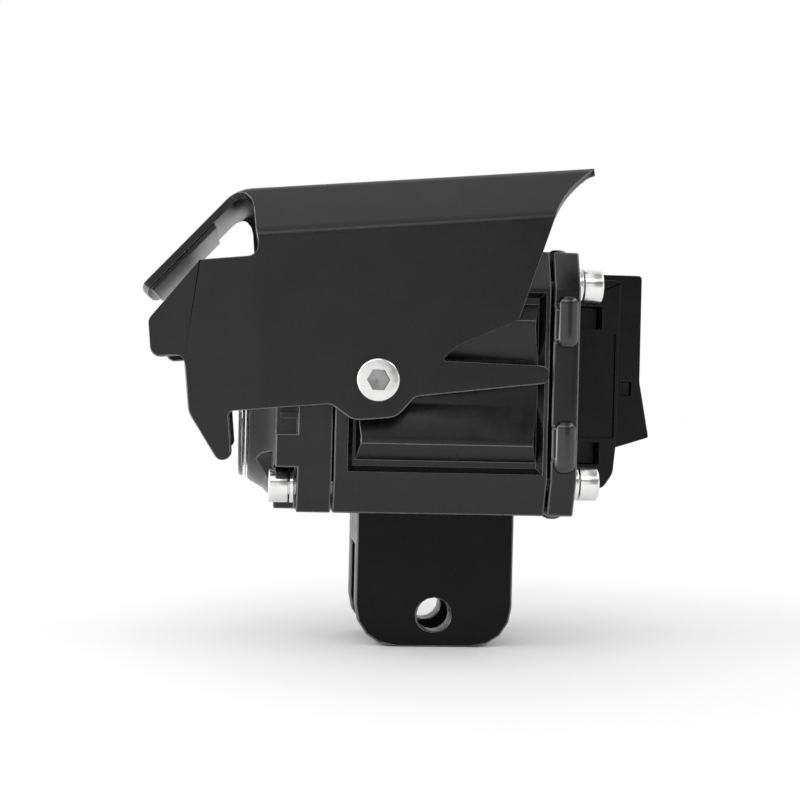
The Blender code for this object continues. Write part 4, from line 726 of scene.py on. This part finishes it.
settle(dome, "led_dome", (0, 0, chip_height + 0.12 * MM))
edit(dome)
bpy.ops.mesh.bisect(
    plane_co=(0, 0, chip_height + 0.12 * MM), plane_no=(0, 0, 1), clear_inner=True, use_fill=True
)
outward(dome)
dome.data.materials.append(clear_glass)
for piece in (base, dome):
    smooth(piece, 30)
    settle(piece, piece.name, (0, led_high.y, lamp_axis.z), (0, -1, 0))
    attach(piece, "lamp")
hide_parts("led_emitter")
print("light source", round(2 * chip / MM, 1), "mm square")

# %% [markdown]
# The sealed-in pieces keep their modelled shapes. Each gets the finish of its own material.
# %% Finishes of the inner pieces
inner_finishes = {
    "lens_gasket": rubber, "bezel_gasket": rubber, "rear_gasket": rubber, "thermal_pad": pad_grey,
    "led_board": white_mask, "driver_board": green_mask, "driver_inductor": ferrite,
    "driver_capacitor_large": can_metal, "driver_capacitor_small": can_metal,
    "driver_chip": epoxy, "driver_diode": epoxy, "led_lead_red": red_cover,
    "led_lead_black": black_cover, "swivel_washer": nylon, "led_board_screw_low": stainless,
    "led_board_screw_high": stainless,
}
inner_finishes.update({"driver_board_screw_" + corner: stainless for corner in corners})
for node, finish in inner_finishes.items():
    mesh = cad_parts[node].data
    mesh.materials.clear()
    mesh.materials.append(finish)
print("finished", len(inner_finishes), "inner pieces")

# %% [markdown]
# A pale floor runs out of sight under the foot, and a white surround lights the black lamp softly.
# Satin black shows its shape mostly by what it mirrors, so the surround has a brighter ceiling and
# a darker band part way up, which draws the soft lines along the bends and the screws. Both lie on
# the side that the lamp's flank faces, and the rest of the surround stays plain white.
# %% Floor
floor_height = cad_low.z - 0.05 * MM
bpy.ops.mesh.primitive_plane_add(size=6)
floor = settle(bpy.context.object, "floor", (0, 0, floor_height))
pale = new_material("pale_floor", (0.86, 0.86, 0.86), 0.8)
speckle = noise(pale, 4 * MM, 3.0)
join(pale, ramp(pale, speckle, [(0.3, 0.75), (0.7, 0.85)]), shader_socket(pale, "Roughness"))
floor.data.materials.append(pale)

# %% Studio light
world = bpy.data.worlds.new("studio")
bpy.context.scene.world = world
world.use_nodes = True
tree = world.node_tree
direction = tree.nodes.new("ShaderNodeTexCoord")
parts = tree.nodes.new("ShaderNodeSeparateXYZ")
tree.links.new(direction.outputs["Generated"], parts.inputs["Vector"])


def portion(source, low, high):
    """How far a direction's part lies between two values, from 0 to 1."""
    item = tree.nodes.new("ShaderNodeMapRange")
    item.inputs["From Min"].default_value = low
    item.inputs["From Max"].default_value = high
    tree.links.new(parts.outputs[source], item.inputs["Value"])
    return item.outputs["Result"]


def shades(source, stops):
    """A ramp of grey levels along a direction's part."""
    item = tree.nodes.new("ShaderNodeValToRGB")
    elements = item.color_ramp.elements
    for i, (place, level) in enumerate(stops):
        element = elements[i] if i < 2 else elements.new(place)
        element.position = place
        element.color = (level, level, level, 1)
    tree.links.new(source, item.inputs["Fac"])
    return item.outputs["Color"]


def blend(kind):
    item = tree.nodes.new("ShaderNodeMix")
    item.data_type = "RGBA"
    item.blend_type = kind
    return item


LEVELS = [
    (0.0, 0.9), (0.62, 1.0), (0.65, 0.4), (0.74, 0.4), (0.8, 3.0), (0.86, 3.0), (0.9, 0.95),
    (1.0, 1.05),
]
FLAG = [(0.0, 1.0), (0.12, 1.0), (0.22, 0.35), (0.4, 0.35), (0.55, 1.0)]
bands = shades(portion("Z", -1.0, 1.0), LEVELS)
flag = shades(parts.outputs["Y"], FLAG)
both = blend("MULTIPLY")
both.inputs["Factor"].default_value = 1.0
tree.links.new(bands, both.inputs[6])
tree.links.new(flag, both.inputs[7])
studio = blend("MIX")
studio.inputs[6].default_value = (1, 1, 1, 1)
tree.links.new(portion("X", -0.5, 0.1), studio.inputs["Factor"])
tree.links.new(both.outputs[2], studio.inputs[7])
tree.links.new(studio.outputs[2], tree.nodes["Background"].inputs["Color"])


def softbox(name, place, target, size, power):
    light = bpy.data.lights.new(name, "AREA")
    light.shape = "RECTANGLE"
    light.size, light.size_y = size
    light.energy = power
    lamp = bpy.data.objects.new(name, light)
    lamp.location = place
    lamp.rotation_euler = (Vector(target) - Vector(place)).to_track_quat("-Z", "Y").to_euler()
    bpy.context.scene.collection.objects.link(lamp)


softbox("front_card", (0.12, -0.45, 0.12), (0, 0, 0.05), (0.3, 0.3), 1.2)
print("studio ready")

# %% [markdown]
# The camera stands at the lamp's side, level with the body, and looks a little towards the rear.
# Plain colour handling keeps the pale ground white and the black coat black.
# %% Camera
camera = bpy.data.cameras.new("camera")
camera.sensor_width = 36
camera.lens = 63.08
camera.shift_x = 0.05
camera.shift_y = -0.015
camera.clip_start = 0.01
station = bpy.data.objects.new("camera", camera)
bpy.context.scene.collection.objects.link(station)
station.location = (0.3081, -0.0408, 0.0481)
yaw, roll = math.radians(4.59), math.radians(1.37)
aim = Vector((-math.cos(yaw), math.sin(yaw), 0))
look = aim.to_track_quat("-Z", "Y").to_matrix()
station.rotation_euler = (look @ Matrix.Rotation(roll, 3, "Z")).to_euler()
bpy.context.scene.camera = station
bpy.context.scene.view_settings.view_transform = "Standard"
print("camera ready")
